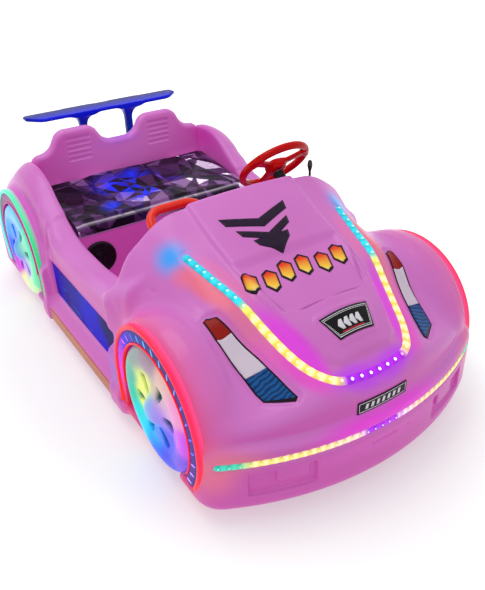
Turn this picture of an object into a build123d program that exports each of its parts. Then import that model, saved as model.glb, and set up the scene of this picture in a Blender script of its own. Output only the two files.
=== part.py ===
"""Two-seat battery bumper car with a moulded, lit plastic body.

Frame: +X forward, +Y to the car's left, +Z up, millimetres. The origin is on the
floor under the middle of the wheelbase, and the body is symmetric about Y = 0.
"""
import os
from math import cos, radians, sin

from build123d import *

# ---- Driving dimensions ----------------------------------------------------
LENGTH = 2000.0            # nose to tail
OVERHANG = 400.0           # from an axle line to the end of the car
BODY_HALF = 500.0          # half width over the fenders
SIDE_WALL = 128.0          # from the cockpit to the widest line
SKIRT_Z = 45.0             # lower edge of the nose and the tail
SKIRT_ROUND = 38.0         # rounding of that edge
SILL_Z = 58.0              # lower edge of the side walls
CREASE_Z = 265.0           # line where the bumpers meet the body above

TOE_DEEP = 120.0           # how far the footwell runs under the cowl
FLOOR_Z = 125.0            # top of the floor pan
FLOOR_THICK = 25.0

COVER_R = 190.0            # wheel cover
COVER_GAP = 4.0            # round the cover, to the body below it
BAND_GAP = 8.0             # round the cover, to the dashed band
BAND_SUNK = 6.0            # the dashed band lies this far inside the ring
ARCH_RING_T = 10.0         # lit ring round the arch
ARCH_OUT = 54.0            # the arch opening is this much larger than the cover
ARCH_END_Z = 95.0          # where the two legs of the arch end
FENDER_OVER = 24.0         # the fender's crown over the arch opening
FENDER_IN = 180.0          # from the side to the inner end of the fender bulge
ARCH_DEEP = 68.0           # depth of the shallow wheel well
COVER_PROUD = 3.0          # the cover's rim stands out of the side
COVER_THICK = 26.0
COVER_DOME = 17.0          # how far the hub stands out of the rim plane
DOME_EDGE = 46.0           # radius of the hub's dome
COVER_BOSS_R = 44.0        # boss that holds the cover to the wall of the wheel well
WINDOWS = 6                # openings round the hub of each cover
WINDOW_AT = 81.0           # radius of the windows' middles
WINDOW_LONG = 56.0
WINDOW_WIDE = 30.0
WINDOW_TURN = 5.0          # degrees

NOSE_SAG = 140.0           # how far the nose bows forward
TAIL_SAG = 90.0            # how far the tail bows back
BUMPER_STEP = 22.0         # the bumper stands this far out of the body above

RAIL_Y = 125.0             # inner face of the chassis rails
RAIL = 40.0                # square tube of the chassis
RAIL_Z = 60.0
BELLY_HALF = 262.0         # opening in the underside for the running gear
BELLY_TOP = 230.0
BELLY_WALL = 100.0         # from the nose back to that opening
TAIL_WALL = 70.0           # the same at the tail
WALL = 30.0                # toe board and other moulded double walls

WHEEL_R = 75.0             # running wheels
REAR_WHEEL_W = 40.0
REAR_WHEEL_BACK = 175.0    # they sit this far behind the line of the rear arches
DRIVE_WHEEL_W = 50.0
AXLE_R = 10.0
RUN_CLEAR = 0.4            # radial running clearance at pins and axles
SIDE_CLEAR = 5.0           # clearance beside what turns
STUB_HEAD = 4.0            # washer and nut on a stub axle
BELLY_CLEAR = 8.0          # from that nut to the side of the belly

SEAT_STEP = 95.0           # the seat's front stands this far before the joint of the rear body
SEAT_TOP_Z = 385.0
SEAT_WALL = 10.0
SEAT_BACK_T = 45.0
CUSHION_FRONT = 35.0       # height of the cushion's front and rear edges over the seat
CUSHION_REAR = 78.0
SOFT_GAP = 0.4             # soft pieces lie this far from what carries them

HEADREST_TOP = 670.0
WING_BACK = 84.0           # from the seat back's face to the wing's middle
WING_Z = 700.0
WING_HALF = 337.0
WING_CHORD = 98.0
WING_T = 16.0
WING_PITCH = 1.0           # degrees, trailing edge up

DRIVER_Y = 200.0           # line of the steering wheel and the pedal
COLUMN_TILT = 47.0         # degrees between the column and the vertical
RIM_R = 116.0
RIM_TUBE = 12.0
TUBE_SIDES = 12            # sides of the moulded tube sections
SHAFT_R = 9.0
SLEEVE_R = 19.0

STRIP_W = 22.0             # width of the bonnet and bumper light strips
STRIP_T = 5.0
PLATE_T = 3.0

# what follows from them
HALF_LENGTH = LENGTH / 2
AXLE_X = HALF_LENGTH - OVERHANG
COWL_X = AXLE_X - 0.75 * OVERHANG                # rear edge of the cowl
TOE_X = COWL_X + TOE_DEEP
COCKPIT_REAR_X = -AXLE_X - 0.15 * OVERHANG       # front face of the rear body
REAR_SPLIT_X = 0.675 * OVERHANG - AXLE_X         # joint between side walls and rear body
SEAT_FACE_X = COCKPIT_REAR_X + SEAT_BACK_T
SEAT_FRONT_X = REAR_SPLIT_X + SEAT_STEP
BELLY_FRONT_X = HALF_LENGTH - BELLY_WALL
BELLY_REAR_X = TAIL_WALL - HALF_LENGTH
REAR_WHEEL_X = -AXLE_X - REAR_WHEEL_BACK
COCKPIT_HALF = BODY_HALF - SIDE_WALL
FENDER_IN_Y = BODY_HALF - FENDER_IN
ARCH_FLOOR_Y = BODY_HALF - ARCH_DEEP
COVER_RIM_Y = BODY_HALF + COVER_PROUD
REAR_WHEEL_Y = BELLY_HALF - BELLY_CLEAR - STUB_HEAD - SIDE_CLEAR - REAR_WHEEL_W / 2
ARCH_R = COVER_R + ARCH_OUT
ARCH_Z = COVER_R + 40
FENDER_R = ARCH_R + FENDER_OVER
FLOOR_BOTTOM = FLOOR_Z - FLOOR_THICK
DASH_Z = CREASE_Z + 215
COWL_TOP = CREASE_Z + 403


# ---- Helpers ---------------------------------------------------------------
def block(x0, x1, y0, y1, z0, z1):
    """Box between two corners."""
    return Pos((x0 + x1) / 2, (y0 + y1) / 2, (z0 + z1) / 2) * Box(x1 - x0, y1 - y0, z1 - z0)


def rod_y(x, z, radius, y0, y1):
    """Cylinder along Y."""
    return Pos(x, (y0 + y1) / 2, z) * Rot(90, 0, 0) * Cylinder(radius, y1 - y0)


def rod_z(x, y, radius, z0, z1):
    """Cylinder along Z."""
    return Pos(x, y, (z0 + z1) / 2) * Cylinder(radius, z1 - z0)


def both_sides(shape):
    """The shape and its mirror image on the other side of the car."""
    return shape + mirror(shape, Plane.XZ)


def pair(shape):
    """Two separate solids, right and left, in one compound."""
    return Compound(children=[*shape.solids(), *mirror(shape, Plane.XZ).solids()])


def body_plan(inset):
    """Outline of the body from above, drawn in from the bumpers by inset."""
    half = BODY_HALF - inset
    front = HALF_LENGTH - inset
    nose_x = front - NOSE_SAG
    tail_x = TAIL_SAG - front
    edges = [
        ThreePointArc((nose_x, -half), (front, 0), (nose_x, half)),
        Line((nose_x, half), (tail_x, half)),
        ThreePointArc((tail_x, half), (-front, 0), (tail_x, -half)),
        Line((tail_x, -half), (nose_x, -half)),
    ]
    return make_face(edges)


def body_section(axle_x, share, crown, ridge_in, ridge, flank_in, flank, side_in, side):
    """Cross section of the body: flat sides, arched flanks and a crowned top.

    The share is of the overhang, measured forward from the axle line. Heights are over
    the crease, and the places marked in are measured inwards from the side.
    """
    x = axle_x + share * OVERHANG
    crown_z, ridge_z, flank_z, side_z = (CREASE_Z + up for up in (crown, ridge, flank, side))
    ridge_y, flank_y, side_y = (BODY_HALF - inward for inward in (ridge_in, flank_in, side_in))
    edges = [
        Line((-side_y, CREASE_Z), (side_y, CREASE_Z)),
        Line((side_y, CREASE_Z), (side_y, side_z)),
        ThreePointArc((side_y, side_z), (flank_y, flank_z), (ridge_y, ridge_z)),
        ThreePointArc((ridge_y, ridge_z), (0, crown_z), (-ridge_y, ridge_z)),
        ThreePointArc((-ridge_y, ridge_z), (-flank_y, flank_z), (-side_y, side_z)),
        Line((-side_y, side_z), (-side_y, CREASE_Z)),
    ]
    return Plane.YZ.offset(x) * make_face(edges)


def fenders(axle_x):
    """Rounded bulges over the two arches of an axle, above the crease."""
    profile = [(FENDER_IN_Y, 0)] + [(BODY_HALF - inward, FENDER_R - sunk) for inward, sunk in FENDER_PROFILE]
    profile = profile + [(BODY_HALF, 0)]
    turned = revolve(make_face(Polyline(*profile, close=True)), Axis.X)
    drum = Plane(origin=(axle_x, 0, ARCH_Z), x_dir=(0, 1, 0), z_dir=(-1, 0, 0)) * turned
    return both_sides(drum & block(-LENGTH, LENGTH, 0, LENGTH, CREASE_Z, LENGTH))


def arch_opening(axle_x, inset, y0, y1):
    """Left wheel arch: a round opening with an upright leg towards the middle of the car."""
    radius = ARCH_R - inset
    leg_x = axle_x - radius if axle_x > 0 else axle_x + radius
    opening = rod_y(axle_x, ARCH_Z, radius, y0, y1)
    opening = opening + block(min(axle_x, leg_x), max(axle_x, leg_x), y0, y1, ARCH_END_Z, ARCH_Z)
    return opening & block(-LENGTH, LENGTH, 0, LENGTH, ARCH_END_Z, LENGTH)


def wheel_wells(axle_x):
    """What the two wheel arches of an axle cut away."""
    outside = BODY_HALF + WALL
    well = arch_opening(axle_x, 0, ARCH_FLOOR_Y, outside)
    return both_sides(well + rod_y(axle_x, ARCH_Z, COVER_R + COVER_GAP, ARCH_FLOOR_Y, outside))


def on_form(form, outline, low, high):
    """What lies between two heights over a form's surface, inside an outline seen from above."""
    column = extrude(outline, LENGTH / 2)
    top = Pos(0, 0, high) * form & column
    return top - Pos(0, 0, low) * form


def ruled(sections):
    """Body form with straight runs from one cross section to the next."""
    return loft(sections, ruled=True)


# ---- Body --------------------------------------------------------------------
# section over the fender's crown: distance in from the side, depth under the crown
FENDER_PROFILE = [
    (FENDER_IN, 92), (164, 46), (134, 16), (98, 2), (70, 0), (38, 6), (16, 19), (0, 45),
]

# share, crown, ridge_in, ridge, flank_in, flank, side_in, side
FRONT_SECTIONS = [
    (-0.75, 403, 260, 395, 126, 323, 40, 120),
    (-0.415, 339, 220, 318, 142, 247, 50, 125),
    (-0.165, 292, 238, 288, 158, 235, 52, 130),
    (0.18, 247, 262, 244, 176, 206, 54, 120),
    (0.3375, 225, 284, 203, 190, 155, 54, 95),
    (0.5, 209, 305, 165, 200, 119, 56, 61),
    (0.7, 147, 334, 125, 220, 81, 60, 31),
    (0.875, 99, 360, 97, 260, 69, 70, 15),
    (1.025, 53, 380, 57, 270, 39, 80, 7),
]
REAR_SECTIONS = [
    (0.675, 207, 110, 203, 60, 181, 34, 129),
    (0.425, 287, 112, 282, 60, 259, 34, 185),
    (0.0, 319, 112, 314, 60, 288, 30, 219),
    (-0.4, 259, 142, 253, 74, 217, 30, 133),
    (-0.75, 197, 170, 191, 94, 153, 38, 80),
    (-1.025, 120, 200, 115, 120, 79, 60, 31),
]

# lines on the left of the bonnet: share of the overhang ahead of the axle, distance in from the side
BONNET_LINE = [(-0.405, 218), (0.1625, 264), (0.4875, 300), (0.68, 327), (0.84, 376)]
# raised middle of the bonnet and the dish in it
PANEL_LINE = [(-0.75, 304), (0.1625, 314), (0.5, 352), (0.7, 382), (0.765, 416)]
DISH_LINE = [(-0.13, 324), (0.32, 350), (0.375, 410)]
LAMP_CORNERS = [(0.1, 196), (0.7675, 269), (0.66, 193), (0.475, 169), (0.07, 157)]


def on_bonnet(line):
    """Points of a line on the left of the bonnet."""
    return [(AXLE_X + share * OVERHANG, BODY_HALF - inward) for share, inward in line]


def closed_over(points):
    """Outline from its left half, closed over the middle of the car."""
    return Polyline(*points, *[(x, -y) for x, y in reversed(points)], close=True)


STRIP_BOW = 12.0           # the bonnet strip bows forward this far between its lower corners
strip_left = on_bonnet(BONNET_LINE)
strip_right = [(x, -y) for x, y in reversed(strip_left)]
strip_middle = (strip_left[-1][0] + STRIP_BOW, 0)
bonnet_path = FilletPolyline(*strip_left, strip_middle, *strip_right, radius=42)
panel_outline = make_face(closed_over(on_bonnet(PANEL_LINE)))
dish_outline = make_face(closed_over(on_bonnet(DISH_LINE)))
lamp_outline = fillet(make_face(Polyline(*on_bonnet(LAMP_CORNERS), close=True)).vertices(), 8)
PANEL_H = 9.0              # the middle of the bonnet stands this far out
DISH = 7.0                 # depth of the dish in it
LAMP_SUNK = 6.0

upper_plan = fillet(body_plan(BUMPER_STEP).vertices(), 60)
upper_column = extrude(upper_plan, 1000)
lower_plan = fillet(body_plan(0).vertices(), 70)
lower_body = Pos(0, 0, SKIRT_Z) * extrude(lower_plan, CREASE_Z - SKIRT_Z)
lower_body = fillet(lower_body.faces().sort_by(Axis.Z)[0].edges(), SKIRT_ROUND)
lower_body = chamfer(lower_body.faces().sort_by(Axis.Z)[-1].edges(), 14)

footwell = block(COWL_X - 1, TOE_X, -COCKPIT_HALF, COCKPIT_HALF, FLOOR_BOTTOM, DASH_Z)
front_form = ruled([body_section(AXLE_X, *row) for row in FRONT_SECTIONS]) & upper_column
front_form = front_form + on_form(front_form, panel_outline, -1, PANEL_H)
front_form = front_form - on_form(front_form, dish_outline, -DISH, PANEL_H)
lamp_beds = both_sides(on_form(front_form, lamp_outline, -LAMP_SUNK, WALL))
front_body = front_form + fenders(AXLE_X) - wheel_wells(AXLE_X) - footwell - lamp_beds

belly = (
    block(COWL_X - 1, BELLY_FRONT_X, -BELLY_HALF, BELLY_HALF, 0, FLOOR_BOTTOM)
    + block(TOE_X + WALL, BELLY_FRONT_X, -BELLY_HALF, BELLY_HALF, 0, BELLY_TOP)
)
nose = lower_body & block(COWL_X, LENGTH, -LENGTH, LENGTH, 0, LENGTH)
nose = nose - wheel_wells(AXLE_X) - footwell - belly

seat_space = block(COCKPIT_REAR_X, REAR_SPLIT_X + 1, -COCKPIT_HALF, COCKPIT_HALF, FLOOR_BOTTOM, LENGTH)
rear_form = ruled([body_section(-AXLE_X, *row) for row in REAR_SECTIONS]) & upper_column
rear_body = rear_form + fenders(-AXLE_X) - wheel_wells(-AXLE_X) - seat_space

rear_belly = (
    block(BELLY_REAR_X, REAR_SPLIT_X + 1, -BELLY_HALF, BELLY_HALF, 0, FLOOR_BOTTOM)
    + block(BELLY_REAR_X, COCKPIT_REAR_X - WALL, -BELLY_HALF, BELLY_HALF, 0, BELLY_TOP)
)
tail = lower_body & block(-LENGTH, REAR_SPLIT_X, -LENGTH, LENGTH, 0, LENGTH)
tail = tail - wheel_wells(-AXLE_X) - seat_space - rear_belly

# share of the way from the rear body to the cowl, height of the rim over the crease
WALL_SECTIONS = [(0, 203), (0.1905, 149), (0.4286, 136), (0.7302, 146), (1, 187)]
SILL_TOP_Z = SILL_Z + 54   # top of the lit band along the sill
WAIST_IN = 34.0            # the side panels lie this far inside the sill
WAIST_Z = SILL_Z + 92
WAIST_Y = BODY_HALF - WAIST_IN
PANEL_TOP_Z = CREASE_Z + 41
# rounded rim from the cockpit outwards: share of the wall's width, depth under the rim
RIM_PROFILE = [(0, 34), (0.085, 12), (0.255, 2), (0.532, 2), (0.766, 18), (0.957, 46), (1.043, 70)]


def wall_section(share, rim):
    """Cross section of the left side wall: rounded rim, flat panel and flared sill."""
    x = REAR_SPLIT_X + share * (COWL_X - REAR_SPLIT_X)
    rim_wide = WAIST_Y - COCKPIT_HALF
    rim_points = [
        (COCKPIT_HALF + part * rim_wide, CREASE_Z + rim - under) for part, under in RIM_PROFILE
    ]
    outline = [
        (COCKPIT_HALF, SILL_Z), *rim_points, (WAIST_Y, PANEL_TOP_Z), (WAIST_Y, WAIST_Z),
        (BODY_HALF, SILL_TOP_Z), (BODY_HALF, SILL_Z),
    ]
    return Plane.YZ.offset(x) * make_face(Polyline(*outline, close=True))


side_wall = ruled([wall_section(*row) for row in WALL_SECTIONS])
sill_x = AXLE_X - ARCH_R
sill = block(-sill_x, sill_x, COCKPIT_HALF, BODY_HALF, SILL_Z, SILL_TOP_Z)
side_wall = side_wall + (sill - block(REAR_SPLIT_X, COWL_X, 0, LENGTH, 0, LENGTH))
nose = nose - both_sides(sill)
tail = tail - both_sides(sill)

PANEL_DEPTH = 8.0          # recess of the side panels
side_panel_x = (REAR_SPLIT_X + 4 * PANEL_DEPTH, COWL_X - 10)
side_panel_z = (WAIST_Z + PANEL_DEPTH, PANEL_TOP_Z)
recess_y = WAIST_Y - PANEL_DEPTH
side_wall = side_wall - block(*side_panel_x, recess_y, BODY_HALF, *side_panel_z)
side_panel = block(*side_panel_x, recess_y, recess_y + PLATE_T, *side_panel_z)

floor_pan = block(
    COCKPIT_REAR_X, TOE_X, -COCKPIT_HALF, COCKPIT_HALF, FLOOR_BOTTOM, FLOOR_Z
)

# ---- Seat ------------------------------------------------------------------------
seat_base = block(SEAT_FACE_X, SEAT_FRONT_X, -COCKPIT_HALF, COCKPIT_HALF, FLOOR_Z, SEAT_TOP_Z)
seat_base = seat_base - block(
    SEAT_FACE_X + SEAT_WALL, SEAT_FRONT_X - SEAT_WALL,
    SEAT_WALL - COCKPIT_HALF, COCKPIT_HALF - SEAT_WALL, FLOOR_Z - 1, SEAT_TOP_Z - SEAT_WALL,
)

# half outline of the seat back seen from the front: share of the cockpit's half width, depth under its top
BACK_OUTLINE = [(0, 72), (0.167, 70), (0.296, 0), (0.685, 0), (0.806, 80), (1, 94)]
PAD_Y = (130.0, 225.0)
PAD_UNDER = (25.0, 130.0)  # the ribbed pads, under the top of the headrests
PAD_RIBS = 5
RIB_H = 12.0
RIB_PROUD = 4.0
BACK_ROUND = 18.0

back_line = [(COCKPIT_HALF * share, HEADREST_TOP - under) for share, under in BACK_OUTLINE]
back_points = back_line + [(COCKPIT_HALF, FLOOR_Z), (-COCKPIT_HALF, FLOOR_Z)]
back_points += [(-y, z) for y, z in reversed(back_line[1:])]
back_face = make_face(Polyline(*back_points, close=True))
back_corners = back_face.vertices().filter_by(lambda v: v.Y > FLOOR_Z + 1 and abs(v.X) > 1)
back_face = fillet(back_corners, BACK_ROUND)
seat_back = extrude(Plane.YZ.offset(COCKPIT_REAR_X) * back_face, SEAT_BACK_T)
rib_pitch = (PAD_UNDER[1] - PAD_UNDER[0] - RIB_H) / (PAD_RIBS - 1)
for n in range(PAD_RIBS):
    low = HEADREST_TOP - PAD_UNDER[1] + n * rib_pitch
    rib = block(SEAT_FACE_X - 1, SEAT_FACE_X + RIB_PROUD, *PAD_Y, low, low + RIB_H)
    seat_back = seat_back + both_sides(rib)

cushion_side = Polyline(
    (SEAT_FACE_X + RIB_PROUD, SEAT_TOP_Z + SOFT_GAP),
    (SEAT_FRONT_X, SEAT_TOP_Z + SOFT_GAP),
    (SEAT_FRONT_X, SEAT_TOP_Z + CUSHION_FRONT),
    (SEAT_FACE_X + RIB_PROUD, SEAT_TOP_Z + CUSHION_REAR),
    close=True,
)
CUSHION_HALF = COCKPIT_HALF - 4
CUSHION_ROUND = 14.0
cushion_face = Plane.XZ.offset(-CUSHION_HALF) * make_face(cushion_side)
cushion = extrude(cushion_face, 2 * CUSHION_HALF)
cushion = fillet(cushion.edges().filter_by(Axis.Y).sort_by(Axis.Z)[-2:], CUSHION_ROUND)

# ---- Rear wing ----------------------------------------------------------------------
TIP_SWEEP = 48.0
blade_plan = make_face(Polyline(
    (-WING_CHORD / 2, -WING_HALF), (0, -WING_HALF), (WING_CHORD / 2, TIP_SWEEP - WING_HALF),
    (WING_CHORD / 2, WING_HALF - TIP_SWEEP), (0, WING_HALF), (-WING_CHORD / 2, WING_HALF),
    close=True,
))
blade_plan = fillet(blade_plan.vertices(), 16)
WING_X = COCKPIT_REAR_X - WING_BACK
wing_blade = Pos(WING_X, 0, WING_Z) * Rot(0, WING_PITCH, 0) * extrude(blade_plan, WING_T / 2, both=True)

STALK_Y = 103.0
STALK_HALF = 15.0
STALK_DEPTH = 36.0
STALK_FLARE = 52.0
STALK_HEAD = 60.0          # height of the flared heads under the wing
FLARE_AT = (12.0, 26.0)    # a point on the flare: out from the stalk, down from the wing
STALK_ROOT = 235.0         # the stalks start this far over the crease, inside the tail
STALK_WAIST_Z = WING_Z - STALK_HEAD
STALK_FOOT_Z = CREASE_Z + STALK_ROOT
stalk_edges = [
    Line((STALK_Y - STALK_HALF, STALK_FOOT_Z), (STALK_Y + STALK_HALF, STALK_FOOT_Z)),
    Line((STALK_Y + STALK_HALF, STALK_FOOT_Z), (STALK_Y + STALK_HALF, STALK_WAIST_Z)),
    ThreePointArc(
        (STALK_Y + STALK_HALF, STALK_WAIST_Z),
        (STALK_Y + STALK_HALF + FLARE_AT[0], WING_Z - FLARE_AT[1]),
        (STALK_Y + STALK_FLARE, WING_Z),
    ),
    Line((STALK_Y + STALK_FLARE, WING_Z), (STALK_Y - STALK_FLARE, WING_Z)),
    ThreePointArc(
        (STALK_Y - STALK_FLARE, WING_Z),
        (STALK_Y - STALK_HALF - FLARE_AT[0], WING_Z - FLARE_AT[1]),
        (STALK_Y - STALK_HALF, STALK_WAIST_Z),
    ),
    Line((STALK_Y - STALK_HALF, STALK_WAIST_Z), (STALK_Y - STALK_HALF, STALK_FOOT_Z)),
]
stalk_face = Plane.YZ.offset(WING_X - STALK_DEPTH / 2) * make_face(stalk_edges)
stalk = extrude(stalk_face, STALK_DEPTH)
stalk = stalk - wing_blade - Pos(0, 0, 1) * wing_blade - rear_form

# ---- Steering wheel, column and hand controls -----------------------------------------
HUB_R = 34.0
HUB_H = 26.0
HUB_CAP = 16.0
SPOKE_W = 26.0
SPOKE_T = 12.0
SPOKE_AT = (90.0, 210.0, 330.0)
COLUMN_GAP = 6.0
WHEEL_BACK = 95.0          # the steering wheel's middle, behind the cowl
WHEEL_UP = 4.0             # and over it
wheel_centre = (COWL_X - WHEEL_BACK, DRIVER_Y, COWL_TOP + WHEEL_UP)
column = Plane(
    origin=wheel_centre,
    x_dir=(0, 1, 0),
    z_dir=(-sin(radians(COLUMN_TILT)), 0, cos(radians(COLUMN_TILT))),
)
rim_section = Pos(RIM_R, 0) * RegularPolygon(RIM_TUBE, TUBE_SIDES)
steering_wheel = revolve(Plane.XZ * rim_section, Axis.Z)
for angle in SPOKE_AT:
    spoke = Pos(RIM_R / 2, 0, -4) * Box(RIM_R, SPOKE_W, SPOKE_T)
    steering_wheel = steering_wheel + Rot(0, 0, angle) * spoke
hub = Pos(0, 0, -HUB_H / 2) * Cylinder(HUB_R, HUB_H)
cap_mid, cap_top = HUB_R * 0.8, HUB_R * 0.3
hub_cap = Cone(HUB_R, cap_mid, HUB_CAP / 2)
hub_cap = hub_cap + Pos(0, 0, HUB_CAP / 2) * Cone(cap_mid, cap_top, HUB_CAP / 2)
steering_wheel = column * (steering_wheel + hub + Pos(0, 0, HUB_CAP / 4) * hub_cap)

DASH_DEPTH = 40.0
SHAFT_LEN = (COWL_X + DASH_DEPTH - wheel_centre[0]) / sin(radians(COLUMN_TILT))
steering_shaft = column * Pos(0, 0, -(HUB_H + SHAFT_LEN) / 2) * Cylinder(SHAFT_R, SHAFT_LEN - HUB_H)
sleeve_len = SHAFT_LEN - HUB_H - COLUMN_GAP
column_sleeve = Pos(0, 0, -HUB_H - COLUMN_GAP - sleeve_len / 2) * Cylinder(SLEEVE_R, sleeve_len)
column_bore = Pos(0, 0, -SHAFT_LEN / 2) * Cylinder(SHAFT_R + RUN_CLEAR, SHAFT_LEN * 2)
column_sleeve = column * (column_sleeve - column_bore)
shaft_room = column * Pos(0, 0, -SHAFT_LEN / 2) * Cylinder(SHAFT_R + SIDE_CLEAR, SHAFT_LEN + 2 * SIDE_CLEAR)
column_sleeve = column_sleeve - front_body
front_body = front_body - shaft_room

HANDLE_IN = (210.0, 378.0)  # its two ends, in from the car's right side
HANDLE_SPREAD = 12.0       # the feet stand this much further out
HANDLE_REACH = 64.0        # how far the handle stands back from the cowl
HANDLE_SUNK = 10.0         # how deep its feet go into the cowl
HANDLE_R = 14.0
HANDLE_ROUND = 48.0
HANDLE_DROP = (83.0, 27.0)  # its feet and its grip, below the cowl's top
handle_y = [inward - BODY_HALF for inward in HANDLE_IN]
handle_foot_x, handle_x = COWL_X + HANDLE_SUNK, COWL_X - HANDLE_REACH
handle_foot_z, handle_z = COWL_TOP - HANDLE_DROP[0], COWL_TOP - HANDLE_DROP[1]
handle_path = FilletPolyline(
    (handle_foot_x, handle_y[0] - HANDLE_SPREAD, handle_foot_z),
    (handle_x, handle_y[0], handle_z),
    (handle_x, handle_y[1], handle_z),
    (handle_foot_x, handle_y[1] + HANDLE_SPREAD, handle_foot_z),
    radius=HANDLE_ROUND,
)
handle_start = Plane(handle_path @ 0, z_dir=handle_path % 0)
grab_handle = sweep(handle_start * RegularPolygon(HANDLE_R, TUBE_SIDES), handle_path)
grab_handle = grab_handle - front_body

LEVER_R = 4.5
LEVER_KNOB = (8.0, 34.0)   # radius and height
LEVER_FOOT = 28.0          # square foot on the cowl
LEVER_IN = 210.0           # in from the car's left side
LEVER_BACK = 16.0          # behind the cowl
LEVER_SPAN = (72.0, 24.0)  # foot below the cowl's top, and tip over it
LEVER_PAD = 10.0           # half thickness of its foot's boss
lever_x, lever_y = COWL_X - LEVER_BACK, BODY_HALF - LEVER_IN
lever_foot_z, lever_top_z = COWL_TOP - LEVER_SPAN[0], COWL_TOP + LEVER_SPAN[1]
lever = rod_z(lever_x, lever_y, LEVER_R, lever_foot_z, lever_top_z)
lever = lever + rod_z(lever_x, lever_y, LEVER_KNOB[0], lever_top_z - LEVER_KNOB[1], lever_top_z)
lever_foot = block(
    lever_x - LEVER_PAD, COWL_X, lever_y - LEVER_FOOT / 2, lever_y + LEVER_FOOT / 2,
    lever_foot_z - LEVER_FOOT / 2, lever_foot_z + LEVER_FOOT / 2,
)
lever = lever + lever_foot

PEDAL_LONG = 80.0
PEDAL_WIDE = 90.0
PEDAL_H = 62.0
pedal_x = COWL_X + 30
pedal_side = Polyline(
    (pedal_x, FLOOR_Z), (pedal_x + PEDAL_LONG, FLOOR_Z), (pedal_x + PEDAL_LONG, FLOOR_Z + PEDAL_H),
    (pedal_x + PEDAL_LONG - 10, FLOOR_Z + PEDAL_H), (pedal_x, FLOOR_Z + 10), close=True,
)
pedal = extrude(Plane.XZ.offset(-DRIVER_Y - PEDAL_WIDE / 2) * make_face(pedal_side), PEDAL_WIDE)

SPEAKER_R = 65.0
SPEAKER_T = 12.0
SPEAKER_EDGE = 11.0        # from a speaker to the side wall
SPEAKER_BOWL = (52.0, 30.0)  # radius of the hollow, and its middle in front of the rim
speaker_y, speaker_z = COCKPIT_HALF - SPEAKER_EDGE - SPEAKER_R, SEAT_TOP_Z - 95
speaker_at = Pos(SEAT_FRONT_X + SPEAKER_T / 2, speaker_y, speaker_z)
speaker = speaker_at * Rot(0, 90, 0) * Cylinder(SPEAKER_R, SPEAKER_T)
bowl_x = SEAT_FRONT_X + SPEAKER_T + SPEAKER_BOWL[1]
speaker = speaker - Pos(bowl_x, speaker_y, speaker_z) * Sphere(SPEAKER_BOWL[0])

# ---- Light strips, lamps and plates ---------------------------------------------------------
bonnet_outline = make_face(offset(bonnet_path, STRIP_W / 2, kind=Kind.ARC))
bonnet_strip = on_form(front_form, bonnet_outline, 0, STRIP_T)

BUMPER_STRIP_Z = CREASE_Z - 47
BUMPER_STRIP_END = BODY_HALF - 30
bumper_ring = extrude(body_plan(0) - body_plan(STRIP_T), STRIP_W)
bumper_strip = Pos(0, 0, BUMPER_STRIP_Z - STRIP_W / 2) * bumper_ring
bumper_strip = bumper_strip & block(0, LENGTH, -BUMPER_STRIP_END, BUMPER_STRIP_END, 0, LENGTH)
nose = nose - bumper_strip

# pockets in the bumper below the strip, and the slot between them
POCKET_IN = (286.0, 108.0)      # its two ends, in from the side
POCKET_Z = (SKIRT_Z + 59, SKIRT_Z + 139)
POCKET_DEEP = 14.0
POCKET_BLOCK_IN = (264.0, 178.0)
POCKET_BLOCK_Z = (SKIRT_Z + 97, POCKET_Z[1])
pocket_y = [BODY_HALF - inward for inward in POCKET_IN]
pocket_block_y = [BODY_HALF - inward for inward in POCKET_BLOCK_IN]
nose_core = extrude(body_plan(POCKET_DEEP), LENGTH)
pocket = block(AXLE_X, LENGTH, *pocket_y, *POCKET_Z) - nose_core
pocket = pocket - block(AXLE_X, LENGTH, *pocket_block_y, *POCKET_BLOCK_Z)
nose = nose - both_sides(pocket)
SLOT_HALF = 138.0
SLOT_Z = SKIRT_Z + 129
SLOT_SAG = 9.0
slot_edges = [
    ThreePointArc((-SLOT_HALF, SLOT_Z), (0, SLOT_Z - SLOT_SAG), (SLOT_HALF, SLOT_Z)),
    ThreePointArc((SLOT_HALF, SLOT_Z), (0, SLOT_Z - SLOT_SAG * 2), (-SLOT_HALF, SLOT_Z)),
]
slot = extrude(Plane.YZ.offset(AXLE_X) * make_face(slot_edges), AXLE_X) - nose_core
nose = nose - slot

lamp_panel = on_form(front_form, lamp_outline, -LAMP_SUNK, PLATE_T - LAMP_SUNK)

# share of the overhang, half width
BADGE_ENDS = [(0.5, 83), (0.66, 59)]
BADGE_ROUND = 5.0
badge_corners = [(AXLE_X + share * OVERHANG, half) for share, half in BADGE_ENDS]
badge_outline = fillet(make_face(closed_over(badge_corners)).vertices(), BADGE_ROUND)
nose_badge = on_form(front_form, badge_outline, 0, PLATE_T)

PLATE_HALF = 87.0
PLATE_Z = (CREASE_Z + 6, CREASE_Z + 43)
plate_front = HALF_LENGTH - BUMPER_STEP
number_plate = block(plate_front - 40, plate_front + 20, -PLATE_HALF, PLATE_HALF, *PLATE_Z)
number_plate = number_plate & Pos(PLATE_T, 0, 0) * front_form
number_plate = number_plate - front_form

SILL_STRIP_T = 3.0
sill_strip = block(-sill_x, sill_x, BODY_HALF, BODY_HALF + SILL_STRIP_T, SILL_Z + 4, SILL_TOP_Z - 4)


def arch_ring(axle_x):
    """Lit ring along the edge of the left arch of an axle."""
    inner = arch_opening(axle_x, ARCH_RING_T, ARCH_FLOOR_Y - 1, BODY_HALF + 1)
    return arch_opening(axle_x, 0, ARCH_FLOOR_Y, BODY_HALF) - inner


def arch_liner(axle_x):
    """Dashed band between the left arch ring of an axle and its wheel cover."""
    band = arch_opening(axle_x, ARCH_RING_T, ARCH_FLOOR_Y, BODY_HALF - BAND_SUNK)
    return band - rod_y(axle_x, ARCH_Z, COVER_R + BAND_GAP, ARCH_FLOOR_Y - 1, BODY_HALF)


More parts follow.
